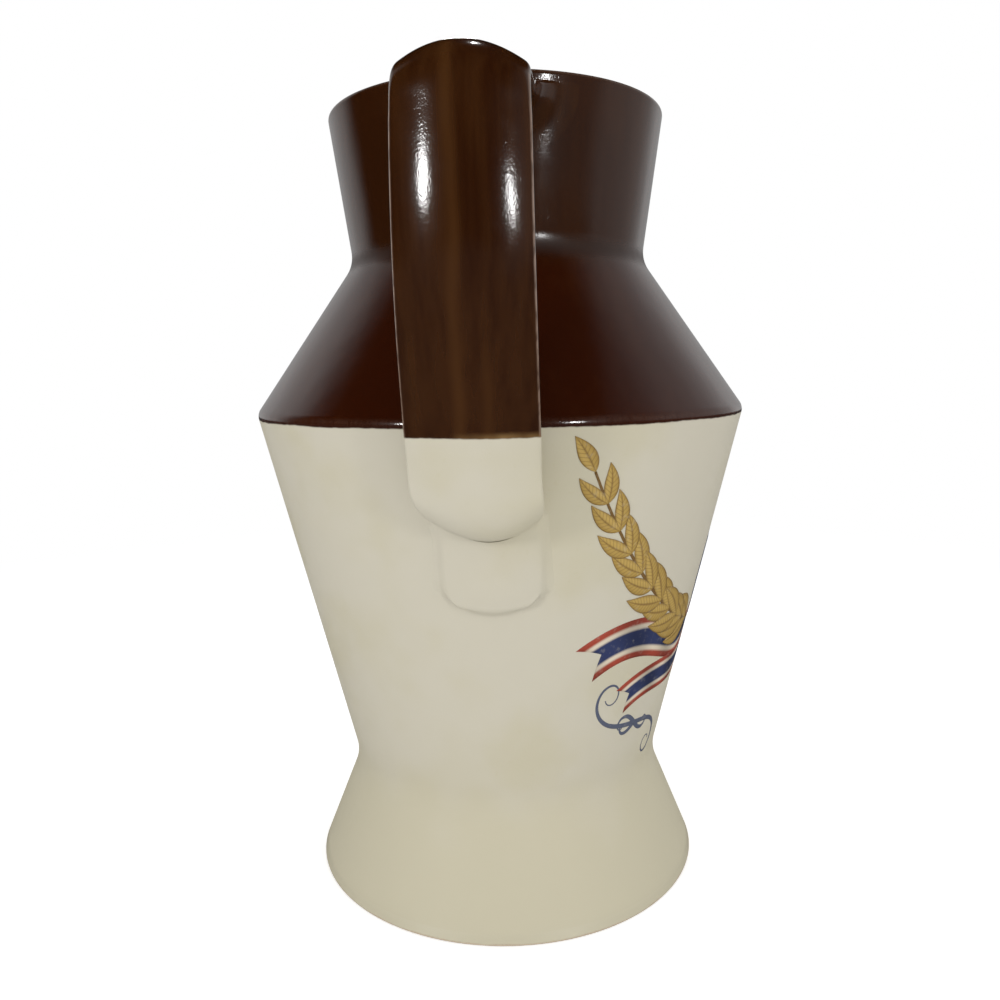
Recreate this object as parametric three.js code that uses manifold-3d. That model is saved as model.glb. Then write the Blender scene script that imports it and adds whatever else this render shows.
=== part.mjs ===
// Two-glaze stoneware pitcher: a slip-cast body of four straight cones with a pouring lip,
// and a broad strap handle that rises level with the rim and ends in a pad on the belly.
// Millimetres, +Z up, standing on z = 0. The lip points to +X and the handle to -X.

import * as THREE from 'three';
import { mergeVertices } from 'three/addons/utils/BufferGeometryUtils.js';
import Module from 'manifold-3d';

const wasm = await Module();
wasm.setup();

// Body: heights above the table and outside radii of the corners where the cones meet
const RIM_HEIGHT = 228.5;
const RIM_RADIUS = 49.5;
const NECK_HEIGHT = 187;
const NECK_RADIUS = 43.8;
const SHOULDER_HEIGHT = 143.6;
const SHOULDER_RADIUS = 74;
const WAIST_HEIGHT = 32.5;
const WAIST_RADIUS = 47.8;
const FOOT_RADIUS = 61.2;

// Each corner is eased by a curve that starts this far from it along both walls
const NECK_EASE = 4;
const SHOULDER_EASE = 1.7;
const WAIST_EASE = 7;
const FOOT_EDGE_EASE = 1;
const RIM_EASE = 1.4;

const WALL = 5;
const FLOOR_THICKNESS = 5.5;
const FOOT_RING_HEIGHT = 3;
const FOOT_RING_WIDTH = 9;
const FLOOR_CLEARANCE = 0.3;
const GLAZE_LINE_BELOW_EDGE = 1.4;

// Pouring lip, pulled out of the collar
const LIP_REACH = 17;
const LIP_RISE = 4;
const LIP_HALF_ANGLE = THREE.MathUtils.degToRad(36);
const LIP_DEPTH_POWER = 1.7;
const LIP_RISE_POWER = 3;

// Handle: a strap with a crowned outer face, sharp side corners and a flatter back
const HANDLE_THICKNESS = 9.6;
const HAND_SPACE = 39.7;
const EDGE_GAP = 6.8;
const ARM_ROOT_DROP = 1.4;
const ARM_SLOPE_DROP = 7.9;
const ARM_WIDTH = 28;
const STRAP_WIDTH = 30.3;
const CROWN = 5;
const ROOT_CROWN = 2.2;
const ROOT_FLARE = 9;
const ROOT_BURIED = 1;
const BEND_EASE_OUTSIDE = 9.5;
const BEND_EASE_INSIDE = 6;
const STRAP_BOW = 5;
const BOW_BELOW_TOP = 36;
const BOW_EASE = 20;
const BACK_SQUARENESS = 2.8;
const HANDLE_CLEARANCE = 0.3;

// Lower end of the handle: the strap rolls in to the belly and ends in a raised pad
const HEEL_BELOW_EDGE = 27.6;
const HEEL_EASE = 11;
const GAP_BOTTOM_ABOVE_HEEL = 12;
const GAP_BOTTOM_EASE = 7;
const HEEL_CORNER = 10;
const HEEL_CROWN = 6.5;
const CREASE_EASE = 3;
const PAD_LENGTH = 19.5;
const PAD_WIDTH = 24;
const PAD_PROUD = 3;
const PAD_CROWN = 3.1;
const PAD_END_EASE = 3;
const PAD_CORNER = 5;

// Fineness of the facets
const AROUND = 90;
const EASE_STEPS = 3;
const CROWN_STEPS = 12;
const BACK_STEPS = 12;
const FLARE_HALVINGS = 20;
const ARM_STEPS = 20;
const ARM_STEP_GROWTH = 1.4;
const SAME_POINT = 0.01;
const BEND_STEPS = 12;
const STRAP_STEPS = 14;
const HEEL_STEPS = 12;
const PAD_STEPS = 12;

const vec = (r, z) => new THREE.Vector2(r, z);

// Glazes and bare clay

const brownGlaze = () => new THREE.MeshStandardMaterial({ color: 0x2b130a, roughness: 0.12, metalness: 0 });
const ivoryGlaze = () => new THREE.MeshStandardMaterial({ color: 0xd9cfb2, roughness: 0.35, metalness: 0 });
const bareClay = () => new THREE.MeshStandardMaterial({ color: 0xcdbb98, roughness: 0.8, metalness: 0 });

// Outlines in the half plane of radius and height

// The point that lies a distance from one point towards another.
function towards(from, to, distance) {
  return to.clone().sub(from).setLength(distance).add(from);
}

// A line through the corners, with each inner corner eased by its own length.
function easedOutline(corners) {
  const path = new THREE.Path().moveTo(corners[0].at.x, corners[0].at.y);
  for (let i = 1; i < corners.length - 1; i++) {
    const { at, ease } = corners[i];
    const before = towards(at, corners[i - 1].at, ease);
    const after = towards(at, corners[i + 1].at, ease);
    path.lineTo(before.x, before.y);
    path.quadraticCurveTo(at.x, at.y, after.x, after.y);
  }
  const last = corners[corners.length - 1].at;
  path.lineTo(last.x, last.y);
  return path.getPoints(EASE_STEPS);
}

// Where two straight lines cross, each given by a point and a direction.
function crossing(a, directionA, b, directionB) {
  const along = b.clone().sub(a).cross(directionB) / directionA.clone().cross(directionB);
  return a.clone().addScaledVector(directionA, along);
}

// The same corners moved inwards by the wall, so that the inside follows the outside.
function insideCorners(corners, wall) {
  const lines = corners.slice(1).map((corner, i) => {
    const direction = corner.at.clone().sub(corners[i].at).normalize();
    const inward = vec(-direction.y, direction.x);
    return { start: corners[i].at.clone().addScaledVector(inward, wall), direction };
  });
  return corners.map(({ at, ease }, i) => {
    const before = lines[i - 1];
    const after = lines[i];
    if (!before || !after) {
      const line = before ?? after;
      return { at: crossing(line.start, line.direction, vec(0, at.y), vec(1, 0)), ease };
    }
    return { at: crossing(before.start, before.direction, after.start, after.direction), ease };
  });
}

const outerCorners = [
  { at: vec(FOOT_RADIUS, 0) },
  { at: vec(WAIST_RADIUS, WAIST_HEIGHT), ease: WAIST_EASE },
  { at: vec(SHOULDER_RADIUS, SHOULDER_HEIGHT), ease: SHOULDER_EASE },
  { at: vec(NECK_RADIUS, NECK_HEIGHT), ease: NECK_EASE },
  { at: vec(RIM_RADIUS, RIM_HEIGHT), ease: RIM_EASE },
];
const innerCorners = insideCorners(outerCorners, WALL);

// The outside starts under the foot's eased edge, and both outlines meet on top of the rim.
const rimMiddle = (RIM_RADIUS + innerCorners[innerCorners.length - 1].at.x) / 2;
const outside = easedOutline([
  { at: vec(FOOT_RADIUS - FOOT_RING_WIDTH / 2, 0) },
  { at: outerCorners[0].at, ease: FOOT_EDGE_EASE },
  ...outerCorners.slice(1),
  { at: vec(rimMiddle, RIM_HEIGHT) },
]);
const inside = easedOutline([
  ...innerCorners.slice(0, -1),
  { at: innerCorners[innerCorners.length - 1].at, ease: RIM_EASE },
  { at: vec(rimMiddle, RIM_HEIGHT) },
]);

// The radius of an outline at a height.
function radiusAt(outline, height) {
  const i = outline.findIndex((point, k) => k > 0 && point.y > outline[k - 1].y && point.y >= height);
  const low = outline[i - 1];
  const high = outline[i];
  return THREE.MathUtils.mapLinear(height, low.y, high.y, low.x, high.x);
}

// The stretch of an outline between two heights.
function stretch(outline, low, high) {
  const middle = outline.filter((point) => point.y > low && point.y < high);
  const top = high < RIM_HEIGHT ? [vec(radiusAt(outline, high), high)] : outline.slice(-1);
  const start = low > 0 ? [vec(radiusAt(outline, low), low)] : outline.filter((point) => point.y === 0);
  return [...start, ...middle, ...top];
}

// Solids

// A closed mesh that shares its vertices, with positions only.
function welded(geometry) {
  const bare = geometry.clone();
  bare.deleteAttribute('normal');
  bare.deleteAttribute('uv');
  return mergeVertices(bare, 1e-4);
}

// A profile turned once round the upright axis.
function turned(profile) {
  const geometry = new THREE.LatheGeometry(profile, AROUND);
  geometry.rotateX(Math.PI / 2);
  return geometry;
}

function toSolid(geometry) {
  const shared = welded(geometry);
  return new wasm.Manifold(new wasm.Mesh({
    numProp: 3,
    vertProperties: Float32Array.from(shared.attributes.position.array),
    triVerts: Uint32Array.from(shared.index.array),
  }));
}

function toGeometry(solid) {
  const { vertProperties, triVerts } = solid.getMesh();
  const geometry = new THREE.BufferGeometry();
  geometry.setAttribute('position', new THREE.BufferAttribute(vertProperties, 3));
  geometry.setIndex(new THREE.BufferAttribute(triVerts, 1));
  return geometry;
}

// A node of the pitcher, shaded by its own facets.
function node(name, geometry, material) {
  const mesh = new THREE.Mesh(welded(geometry), material);
  mesh.geometry.computeVertexNormals();
  mesh.name = name;
  return mesh;
}

// Body sections, split where the cones meet and where one glaze ends

const FLOOR_TOP = FOOT_RING_HEIGHT + FLOOR_THICKNESS;
const GLAZE_LINE = SHOULDER_HEIGHT - GLAZE_LINE_BELOW_EDGE;

// The bare ring that the pitcher stands on.
function footRing() {
  const ringInside = FOOT_RADIUS - FOOT_RING_WIDTH;
  const outer = stretch(outside, 0, FOOT_RING_HEIGHT);
  const profile = [vec(ringInside, 0), ...outer, vec(ringInside, FOOT_RING_HEIGHT), vec(ringInside, 0)];
  return node('foot_ring', turned(profile), bareClay());
}

// The floor lies on the ring inside the flared wall, so the underside is recessed by the ring's height.
function floor() {
  const wall = stretch(inside, FOOT_RING_HEIGHT, FLOOR_TOP);
  const edge = wall.map((point) => vec(point.x - FLOOR_CLEARANCE, point.y));
  const profile = [vec(0, FOOT_RING_HEIGHT), ...edge, vec(0, FLOOR_TOP)];
  return node('floor', turned(profile), ivoryGlaze());
}

// One ring of wall between two heights.
function wallRing(low, high) {
  const outer = stretch(outside, low, high);
  const inner = stretch(inside, low, high).reverse();
  const shared = high < RIM_HEIGHT ? inner : inner.slice(1);
  return turned([...outer, ...shared, outer[0].clone()]);
}

// The lip: points of the collar within its angle move outwards and up, most at the rim.
function pullLip(geometry) {
  const position = geometry.attributes.position;
  for (let i = 0; i < position.count; i++) {
    const x = position.getX(i);
    const y = position.getY(i);
    const z = position.getZ(i);
    const angle = Math.abs(Math.atan2(y, x));
    if (angle < LIP_HALF_ANGLE) {
      const across = Math.cos((Math.PI / 2) * (angle / LIP_HALF_ANGLE)) ** 2;
      const height = Math.max(0, (z - NECK_HEIGHT) / (RIM_HEIGHT - NECK_HEIGHT));
      const radius = Math.hypot(x, y);
      const grown = 1 + (LIP_REACH * across * height ** LIP_DEPTH_POWER) / radius;
      position.setXYZ(i, x * grown, y * grown, z + LIP_RISE * across * height ** LIP_RISE_POWER);
    }
  }
  return geometry;
}

// Handle

// The corners of its side view, worked out from the body that it spans.
const armLevel = RIM_HEIGHT - ARM_ROOT_DROP;
const strapTop = vec(RIM_RADIUS + HAND_SPACE + HANDLE_THICKNESS, armLevel - ARM_SLOPE_DROP);
const strapAtEdge = vec(SHOULDER_RADIUS + EDGE_GAP + HANDLE_THICKNESS, SHOULDER_HEIGHT);
const armOut = strapTop.clone().sub(vec(RIM_RADIUS, armLevel)).normalize();
const bowHeight = strapTop.y - BOW_BELOW_TOP;
const bow = crossing(strapTop, strapAtEdge.clone().sub(strapTop), vec(0, bowHeight), vec(1, 0));
bow.x += STRAP_BOW;
const strapOut = bow.clone().sub(strapTop).normalize();
const strapDown = strapAtEdge.clone().sub(bow).normalize();
const heelHeight = SHOULDER_HEIGHT - HEEL_BELOW_EDGE;
const padEnd = heelHeight - PAD_LENGTH;
const gapBottomHeight = heelHeight + GAP_BOTTOM_ABOVE_HEEL;
const heelCorner = crossing(bow, strapDown, vec(0, heelHeight), vec(1, 0));
const creaseCorner = vec(radiusAt(outside, heelHeight) + PAD_PROUD, heelHeight);
const padEndCorner = vec(radiusAt(outside, padEnd) + PAD_PROUD, padEnd);

// The back runs a thickness inside the outer face.
function backOf(point, direction, thickness = HANDLE_THICKNESS) {
  return point.clone().add(vec(direction.y, -direction.x).multiplyScalar(thickness));
}
const backTop = crossing(backOf(strapTop, armOut), armOut, backOf(strapTop, strapOut), strapOut);
const backBow = crossing(backOf(bow, strapOut), strapOut, backOf(bow, strapDown), strapDown);
const gapCorner = crossing(backBow, strapDown, vec(0, gapBottomHeight), vec(1, 0));

// How far the round fillet at the root stands out from the arm, at a distance from the wall.
function flareAt(distance) {
  const left = THREE.MathUtils.clamp(ROOT_FLARE - distance, 0, ROOT_FLARE);
  return ROOT_FLARE - Math.sqrt(ROOT_FLARE ** 2 - left ** 2);
}

// The fillet beside the arm: its own width moves it round the neck, so it is found by halving.
const wallAtArm = radiusAt(outside, armLevel - HANDLE_THICKNESS);
function sideFlare(reach) {
  let low = 0;
  let high = ROOT_FLARE;
  for (let i = 0; i < FLARE_HALVINGS; i++) {
    const flare = (low + high) / 2;
    const distance = Math.hypot(reach, ARM_WIDTH / 2 + flare) - wallAtArm;
    if (flareAt(distance) > flare) {
      low = flare;
    } else {
      high = flare;
    }
  }
  return low;
}

// A stretch of the side view: straight, eased round a corner, and straight again.
function bentPath(start, corner, end, ease) {
  const before = towards(corner, start, ease);
  const after = towards(corner, end, ease);
  const path = new THREE.Path().moveTo(start.x, start.y).lineTo(before.x, before.y);
  return path.quadraticCurveTo(corner.x, corner.y, after.x, after.y).lineTo(end.x, end.y);
}

const straightPath = (start, end) => new THREE.Path().moveTo(start.x, start.y).lineTo(end.x, end.y);

// Matching points along the outer face and the back.
function pairs(outer, back, steps) {
  const backPoints = back.getSpacedPoints(steps);
  return outer.getSpacedPoints(steps).map((point, i) => ({ outer: point, back: backPoints[i] }));
}

// The arm leaves the neck with a fillet on its underside and both sides.
const bendReach = HANDLE_THICKNESS + BEND_EASE_INSIDE;
const bendStart = towards(strapTop, vec(RIM_RADIUS, armLevel), bendReach);
function armStations() {
  const rootRadius = Math.sqrt(wallAtArm ** 2 - (ARM_WIDTH / 2 + ROOT_FLARE) ** 2) - ROOT_BURIED;
  const root = crossing(strapTop, armOut, vec(rootRadius, 0), vec(0, 1));
  const stations = [];
  for (let i = 0; i <= ARM_STEPS; i++) {
    const outer = root.clone().lerp(bendStart, (i / ARM_STEPS) ** ARM_STEP_GROWTH);
    const under = flareAt(outer.x - wallAtArm);
    const side = sideFlare(outer.x);
    stations.push({
      outer,
      back: backOf(outer, armOut, HANDLE_THICKNESS + under),
      width: ARM_WIDTH + 2 * side,
      crown: THREE.MathUtils.lerp(CROWN, ROOT_CROWN, side / ROOT_FLARE),
    });
  }
  return stations;
}

// The bend and the strap, which bows out a little and widens evenly down to the shoulder's edge.
function strapStations() {
  const { lerp, inverseLerp } = THREE.MathUtils;
  const bendEnd = towards(strapTop, bow, bendReach);
  const backBendStart = towards(backTop, backOf(bendStart, armOut), BEND_EASE_INSIDE);
  const backBendEnd = towards(backTop, backBow, BEND_EASE_INSIDE);
  const heelStart = towards(heelCorner, bow, HEEL_EASE);
  const gapStart = towards(gapCorner, backBow, GAP_BOTTOM_EASE);
  const bend = pairs(
    bentPath(bendStart, strapTop, bendEnd, BEND_EASE_OUTSIDE),
    bentPath(backBendStart, backTop, backBendEnd, BEND_EASE_INSIDE),
    BEND_STEPS,
  );
  const strap = pairs(
    bentPath(bendEnd, bow, heelStart, BOW_EASE),
    bentPath(backBendEnd, backBow, gapStart, BOW_EASE),
    STRAP_STEPS,
  );
  return [...bend, ...strap].map((station) => {
    const down = Math.max(0, inverseLerp(strapTop.y, SHOULDER_HEIGHT, station.outer.y));
    return { ...station, width: lerp(ARM_WIDTH, STRAP_WIDTH, down), crown: CROWN };
  });
}

// The heel rolls in to the belly and narrows to the pad round its corners, while the back
// closes the finger gap with a round bottom.
const creaseStart = towards(creaseCorner, heelCorner, CREASE_EASE);
const gapEnd = vec(radiusAt(outside, gapBottomHeight) - WALL / 2, gapBottomHeight);
function heelStations() {
  const { clamp, lerp, smoothstep } = THREE.MathUtils;
  const heelStart = towards(heelCorner, bow, HEEL_EASE);
  const gapStart = towards(gapCorner, backBow, GAP_BOTTOM_EASE);
  const heel = pairs(
    bentPath(heelStart, heelCorner, creaseStart, HEEL_EASE),
    bentPath(gapStart, gapCorner, gapEnd, GAP_BOTTOM_EASE),
    HEEL_STEPS,
  );
  return heel.map((station) => {
    const lowered = clamp((heelHeight + HEEL_CORNER - station.outer.y) / HEEL_CORNER, 0, 1);
    const width = lerp(PAD_WIDTH, STRAP_WIDTH, Math.sqrt(1 - lowered ** 2));
    return { ...station, width, crown: lerp(CROWN, HEEL_CROWN, smoothstep(lowered, 0, 1)) };
  });
}

// The pad: out of the crease, down the belly, and round its end and lower corners into the wall.
function padStations() {
  const { clamp, lerp } = THREE.MathUtils;
  const padInside = vec(radiusAt(outside, padEnd) - WALL / 2, padEnd - PAD_END_EASE);
  const afterCrease = towards(creaseCorner, padEndCorner, CREASE_EASE);
  const beforeEnd = towards(padEndCorner, creaseCorner, PAD_END_EASE);
  const face = new THREE.Path().moveTo(creaseStart.x, creaseStart.y);
  face.quadraticCurveTo(creaseCorner.x, creaseCorner.y, afterCrease.x, afterCrease.y);
  face.lineTo(beforeEnd.x, beforeEnd.y);
  face.quadraticCurveTo(padEndCorner.x, padEndCorner.y, padInside.x, padInside.y);
  const back = straightPath(gapEnd, vec(padInside.x - WALL, padInside.y));
  return pairs(face, back, PAD_STEPS).map((station) => {
    const aboveEnd = clamp((station.outer.y - padEnd) / PAD_CORNER, 0, 1);
    const corner = PAD_CORNER * (1 - Math.sqrt(1 - (1 - aboveEnd) ** 2));
    const belowCrease = clamp((heelHeight - station.outer.y) / CREASE_EASE, 0, 1);
    const crown = lerp(HEEL_CROWN, PAD_CROWN, belowCrease);
    return { ...station, width: PAD_WIDTH - 2 * corner, crown };
  });
}

// One ring of points: the crowned face from side to side, then the squared back.
function sectionRing({ outer, back, width, crown }) {
  const depth = back.clone().sub(outer);
  const thickness = depth.length();
  const inward = depth.normalize();
  const ring = [];
  const place = (y, distance) => {
    const point = outer.clone().addScaledVector(inward, distance);
    ring.push(new THREE.Vector3(-point.x, y, point.y));
  };
  for (let k = 0; k <= CROWN_STEPS; k++) {
    const across = (2 * k) / CROWN_STEPS - 1;
    place((across * width) / 2, crown * across ** 2);
  }
  for (let k = 1; k < BACK_STEPS; k++) {
    const turn = (Math.PI * k) / BACK_STEPS;
    const across = Math.sign(Math.cos(turn)) * Math.abs(Math.cos(turn)) ** (2 / BACK_SQUARENESS);
    const deep = Math.sin(turn) ** (2 / BACK_SQUARENESS);
    place((across * width) / 2, crown + (thickness - crown) * deep);
  }
  return ring;
}

// Rings joined into one closed skin with a fan at each end.
function loft(rings) {
  const around = rings[0].length;
  const positions = rings.flat().flatMap((point) => point.toArray());
  const faces = [];
  for (let i = 0; i < rings.length - 1; i++) {
    for (let j = 0; j < around; j++) {
      const a = i * around + j;
      const b = i * around + ((j + 1) % around);
      faces.push(a, b, b + around, a, b + around, a + around);
    }
  }
  for (const first of [0, rings.length - 1]) {
    const centre = positions.length / 3;
    const middle = new THREE.Vector3();
    rings[first].forEach((point) => middle.addScaledVector(point, 1 / around));
    positions.push(...middle.toArray());
    for (let j = 0; j < around; j++) {
      const a = first * around + j;
      const b = first * around + ((j + 1) % around);
      faces.push(...(first === 0 ? [centre, b, a] : [centre, a, b]));
    }
  }
  const geometry = new THREE.BufferGeometry();
  geometry.setAttribute('position', new THREE.Float32BufferAttribute(positions, 3));
  geometry.setIndex(faces);
  return geometry;
}

// The whole handle, trimmed to stand just clear of the body's outside.
function handleSolid() {
  const all = [...armStations(), ...strapStations(), ...heelStations(), ...padStations()];
  const stations = all.filter(({ outer }, i) => i === 0 || outer.distanceTo(all[i - 1].outer) > SAME_POINT);
  const cleared = outside.map((point) => vec(point.x + HANDLE_CLEARANCE, point.y));
  const above = RIM_HEIGHT + HANDLE_THICKNESS;
  const body = turned([vec(0, 0), ...cleared, vec(rimMiddle, above), vec(0, above)]);
  return toSolid(loft(stations.map(sectionRing))).subtract(toSolid(body));
}

// The stretch of a solid between two heights.
function slice(solid, low, high) {
  const beyond = 2 * (strapTop.x + SHOULDER_RADIUS);
  const box = new THREE.BoxGeometry(beyond, beyond, high - low);
  box.translate(0, 0, (high + low) / 2);
  return solid.intersect(toSolid(box));
}

// The pitcher put together

const whole = handleSolid();
const pitcher = new THREE.Group();
pitcher.add(
  footRing(),
  floor(),
  node('flared_foot', wallRing(FOOT_RING_HEIGHT, WAIST_HEIGHT), ivoryGlaze()),
  node('belly_wall', wallRing(WAIST_HEIGHT, GLAZE_LINE), ivoryGlaze()),
  node('shoulder', wallRing(GLAZE_LINE, NECK_HEIGHT), brownGlaze()),
  node('neck_and_lip', pullLip(wallRing(NECK_HEIGHT, RIM_HEIGHT)), brownGlaze()),
  node('handle_strap', toGeometry(slice(whole, GLAZE_LINE, RIM_HEIGHT + CROWN)), brownGlaze()),
  node('handle_heel', toGeometry(slice(whole, heelHeight, GLAZE_LINE)), ivoryGlaze()),
  node('handle_pad', toGeometry(slice(whole, padEnd - WALL, heelHeight)), ivoryGlaze()),
);

// The origin is on the table, midway between the handle's back and the shoulder.
const reach = new THREE.Box3().setFromObject(pitcher);
pitcher.position.x = -(reach.min.x + reach.max.x) / 2;

const group = new THREE.Group();
group.add(pitcher);

export default group;
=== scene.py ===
import functools
import math

import bpy
import numpy as np
from mathutils import Matrix, Vector


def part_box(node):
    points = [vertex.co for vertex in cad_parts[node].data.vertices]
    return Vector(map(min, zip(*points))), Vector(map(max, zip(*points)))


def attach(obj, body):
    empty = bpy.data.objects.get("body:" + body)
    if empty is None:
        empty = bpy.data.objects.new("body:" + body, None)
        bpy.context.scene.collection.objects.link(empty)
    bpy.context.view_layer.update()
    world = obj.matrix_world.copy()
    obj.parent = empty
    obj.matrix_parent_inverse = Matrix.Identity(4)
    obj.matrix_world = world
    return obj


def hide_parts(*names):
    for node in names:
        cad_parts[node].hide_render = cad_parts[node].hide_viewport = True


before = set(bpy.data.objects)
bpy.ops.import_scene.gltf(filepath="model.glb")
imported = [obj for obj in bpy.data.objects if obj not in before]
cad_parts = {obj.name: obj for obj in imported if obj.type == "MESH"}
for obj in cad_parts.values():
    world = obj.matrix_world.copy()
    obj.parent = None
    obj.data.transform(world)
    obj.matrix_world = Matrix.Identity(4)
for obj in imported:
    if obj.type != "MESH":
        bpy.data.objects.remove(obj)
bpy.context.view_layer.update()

# Camera: the picture was taken close by, from behind the handle and a little to the
# right of it, with the lens about level with the shoulder and tilted down.

belly_low, belly_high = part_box("belly_wall")
AXIS_X = (belly_low.x + belly_high.x) / 2
MM = 0.001
CAMERA_DISTANCE = 271.3 * MM
CAMERA_HEIGHT = 157.2 * MM
CAMERA_SIDESTEP = math.radians(4.2)
CAMERA_PITCH = math.radians(9.106)
CAMERA_ROLL = math.radians(0.972)
CAMERA_LENS = 30.70
SENSOR_WIDTH = 36
PRINCIPAL_SHIFT = -0.00168

camera_data = bpy.data.cameras.new("camera")
camera_data.sensor_fit = "HORIZONTAL"
camera_data.sensor_width = SENSOR_WIDTH
camera_data.lens = CAMERA_LENS
camera_data.shift_x = PRINCIPAL_SHIFT
camera_data.clip_start = MM
camera = bpy.data.objects.new("camera", camera_data)
bpy.context.scene.collection.objects.link(camera)

towards_camera = Vector((-math.cos(CAMERA_SIDESTEP), -math.sin(CAMERA_SIDESTEP), 0))
camera_place = Vector((AXIS_X, 0, CAMERA_HEIGHT)) + CAMERA_DISTANCE * towards_camera
level_right = Vector((0, 0, 1)).cross(towards_camera)
backwards = math.cos(CAMERA_PITCH) * towards_camera + Vector((0, 0, math.sin(CAMERA_PITCH)))
plumb_up = backwards.cross(level_right)
camera_up = math.cos(CAMERA_ROLL) * plumb_up + math.sin(CAMERA_ROLL) * level_right
camera_right = camera_up.cross(backwards)
turn = Matrix((camera_right, camera_up, backwards)).transposed().to_4x4()
camera.matrix_world = Matrix.Translation(camera_place) @ turn
bpy.context.scene.camera = camera

# Studio: a plain white table top that runs out of sight, white all round for the lens,
# a soft lamp on either side of the camera, two small ones behind, and a room that is dim
# on the camera's side.

bpy.context.scene.view_settings.view_transform = "Standard"

TABLE_RADIUS = 3.0
TABLE_SIDES = 96
TABLE_COLOUR = (0.86, 0.86, 0.86, 1)
TABLE_GLOW = 0.42
TABLE_MIRRORED = 0.05
TABLE_NEAR = 0.20
TABLE_FAR = 0.60
WHITE = (1, 1, 1, 1)
ROOM_FILL_LEFT = 0.57
ROOM_FILL_RIGHT = 0.95
ROOM_BRIGHT = 0.58
ROOM_DARK_SIDE = math.radians(23)
ROOM_BRIGHT_BEHIND = -0.20
ROOM_DARK_BEFORE = 0.16
CEILING_STEEPNESS = 0.7
CEILING_DARK = -0.56
CEILING_LIT = -0.16
OVERHEAD = math.radians(60)
OVERHEAD_SEEN = 0.72
OVERHEAD_DARK = 0.86
RIGHT_FROM = 0.55
RIGHT_TO = 0.97
RIGHT_SHARE = 0.45
GLOW_FROM = 0.50
GLOW_TO = 0.66
RIGHT_GLOW = 0.12
FAR_FROM = 0.75
FAR_SHARE = 0.60
AIM_HEIGHT = 0.15
MIX_FIRST = 6
MIX_SECOND = 7
MIX_RESULT = 2


def new_material(name):
    """An empty node material and its node tree."""
    material = bpy.data.materials.new(name)
    material.use_nodes = True
    material.node_tree.nodes.clear()
    return material, material.node_tree


def add_node(tree, kind, inputs=None, **settings):
    """A shader node with its settings, and a value or a socket for each of the inputs, which
    are named or numbered."""
    made = tree.nodes.new("ShaderNode" + kind)
    for setting, value in settings.items():
        setattr(made, setting, value)
    for key, value in (inputs or {}).items():
        if isinstance(value, bpy.types.NodeSocket):
            tree.links.new(value, made.inputs[key])
        else:
            made.inputs[key].default_value = value
    return made


def maths(tree, operation, *values):
    """A Math node on numbers or sockets, and its result."""
    return add_node(tree, "Math", dict(enumerate(values)), operation=operation).outputs[0]


def stretched(tree, vector, scale):
    """The vector scaled by its own amount each way, so that a pattern is drawn out."""
    return add_node(tree, "VectorMath", {0: vector, 1: scale}, operation="MULTIPLY").outputs[0]


def ramp(tree, value, low, high, start=0.0, end=1.0, kind="SMOOTHSTEP"):
    """The value mapped from low..high to start..end, smoothly or in a straight line."""
    inputs = {"Value": value, "From Min": low, "From Max": high, "To Min": start, "To Max": end}
    return add_node(tree, "MapRange", inputs, interpolation_type=kind).outputs["Result"]


def noise(tree, vector, scale, detail=2, roughness=0.5):
    """A noise pattern of that scale, from 0 to 1."""
    inputs = {"Vector": vector, "Scale": scale, "Detail": detail, "Roughness": roughness}
    return add_node(tree, "TexNoise", inputs).outputs["Fac"]


def blended(tree, factor, first, second):
    """A colour mixed from two colours or colour sockets. The Mix node has sockets for each
    kind of data, and those for colours are found by their numbers."""
    inputs = {0: factor, MIX_FIRST: first, MIX_SECOND: second}
    return add_node(tree, "Mix", inputs, data_type="RGBA").outputs[MIX_RESULT]


def mixed(tree, factor, first, second):
    """One shader where the factor is 0 and the other where it is 1."""
    return add_node(tree, "MixShader", {0: factor, 1: first, 2: second}).outputs[0]


def table_top():
    """A flat disc of one face. For the lens it brightens to plain white away from the pitcher,
    and reflections see it dimmer than it is."""
    angle = np.arange(TABLE_SIDES) * 2 * np.pi / TABLE_SIDES
    rim = np.stack([np.cos(angle), np.sin(angle), 0 * angle], 1) * TABLE_RADIUS
    mesh = bpy.data.meshes.new("table_top")
    mesh.from_pydata(rim.tolist(), [], [list(range(TABLE_SIDES))])
    table = bpy.data.objects.new("table_top", mesh)
    bpy.context.scene.collection.objects.link(table)
    material, tree = new_material("white_table")
    paper = add_node(tree, "BsdfDiffuse", {"Color": TABLE_COLOUR}).outputs[0]
    white, glow, dim = (
        add_node(tree, "Emission", {"Strength": strength}).outputs[0]
        for strength in (1.0, TABLE_GLOW, TABLE_MIRRORED)
    )
    place = add_node(tree, "TexCoord").outputs["Object"]
    away = add_node(tree, "VectorMath", {0: place}, operation="LENGTH").outputs["Value"]
    lit = add_node(tree, "AddShader", {0: paper, 1: glow}).outputs[0]
    seen = add_node(tree, "LightPath").outputs
    for_lens = mixed(tree, ramp(tree, away, TABLE_NEAR, TABLE_FAR), lit, white)
    for_light = mixed(tree, seen["Is Glossy Ray"], paper, dim)
    surface = mixed(tree, seen["Is Camera Ray"], for_light, for_lens)
    add_node(tree, "OutputMaterial", {"Surface": surface})
    mesh.materials.append(material)


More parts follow.
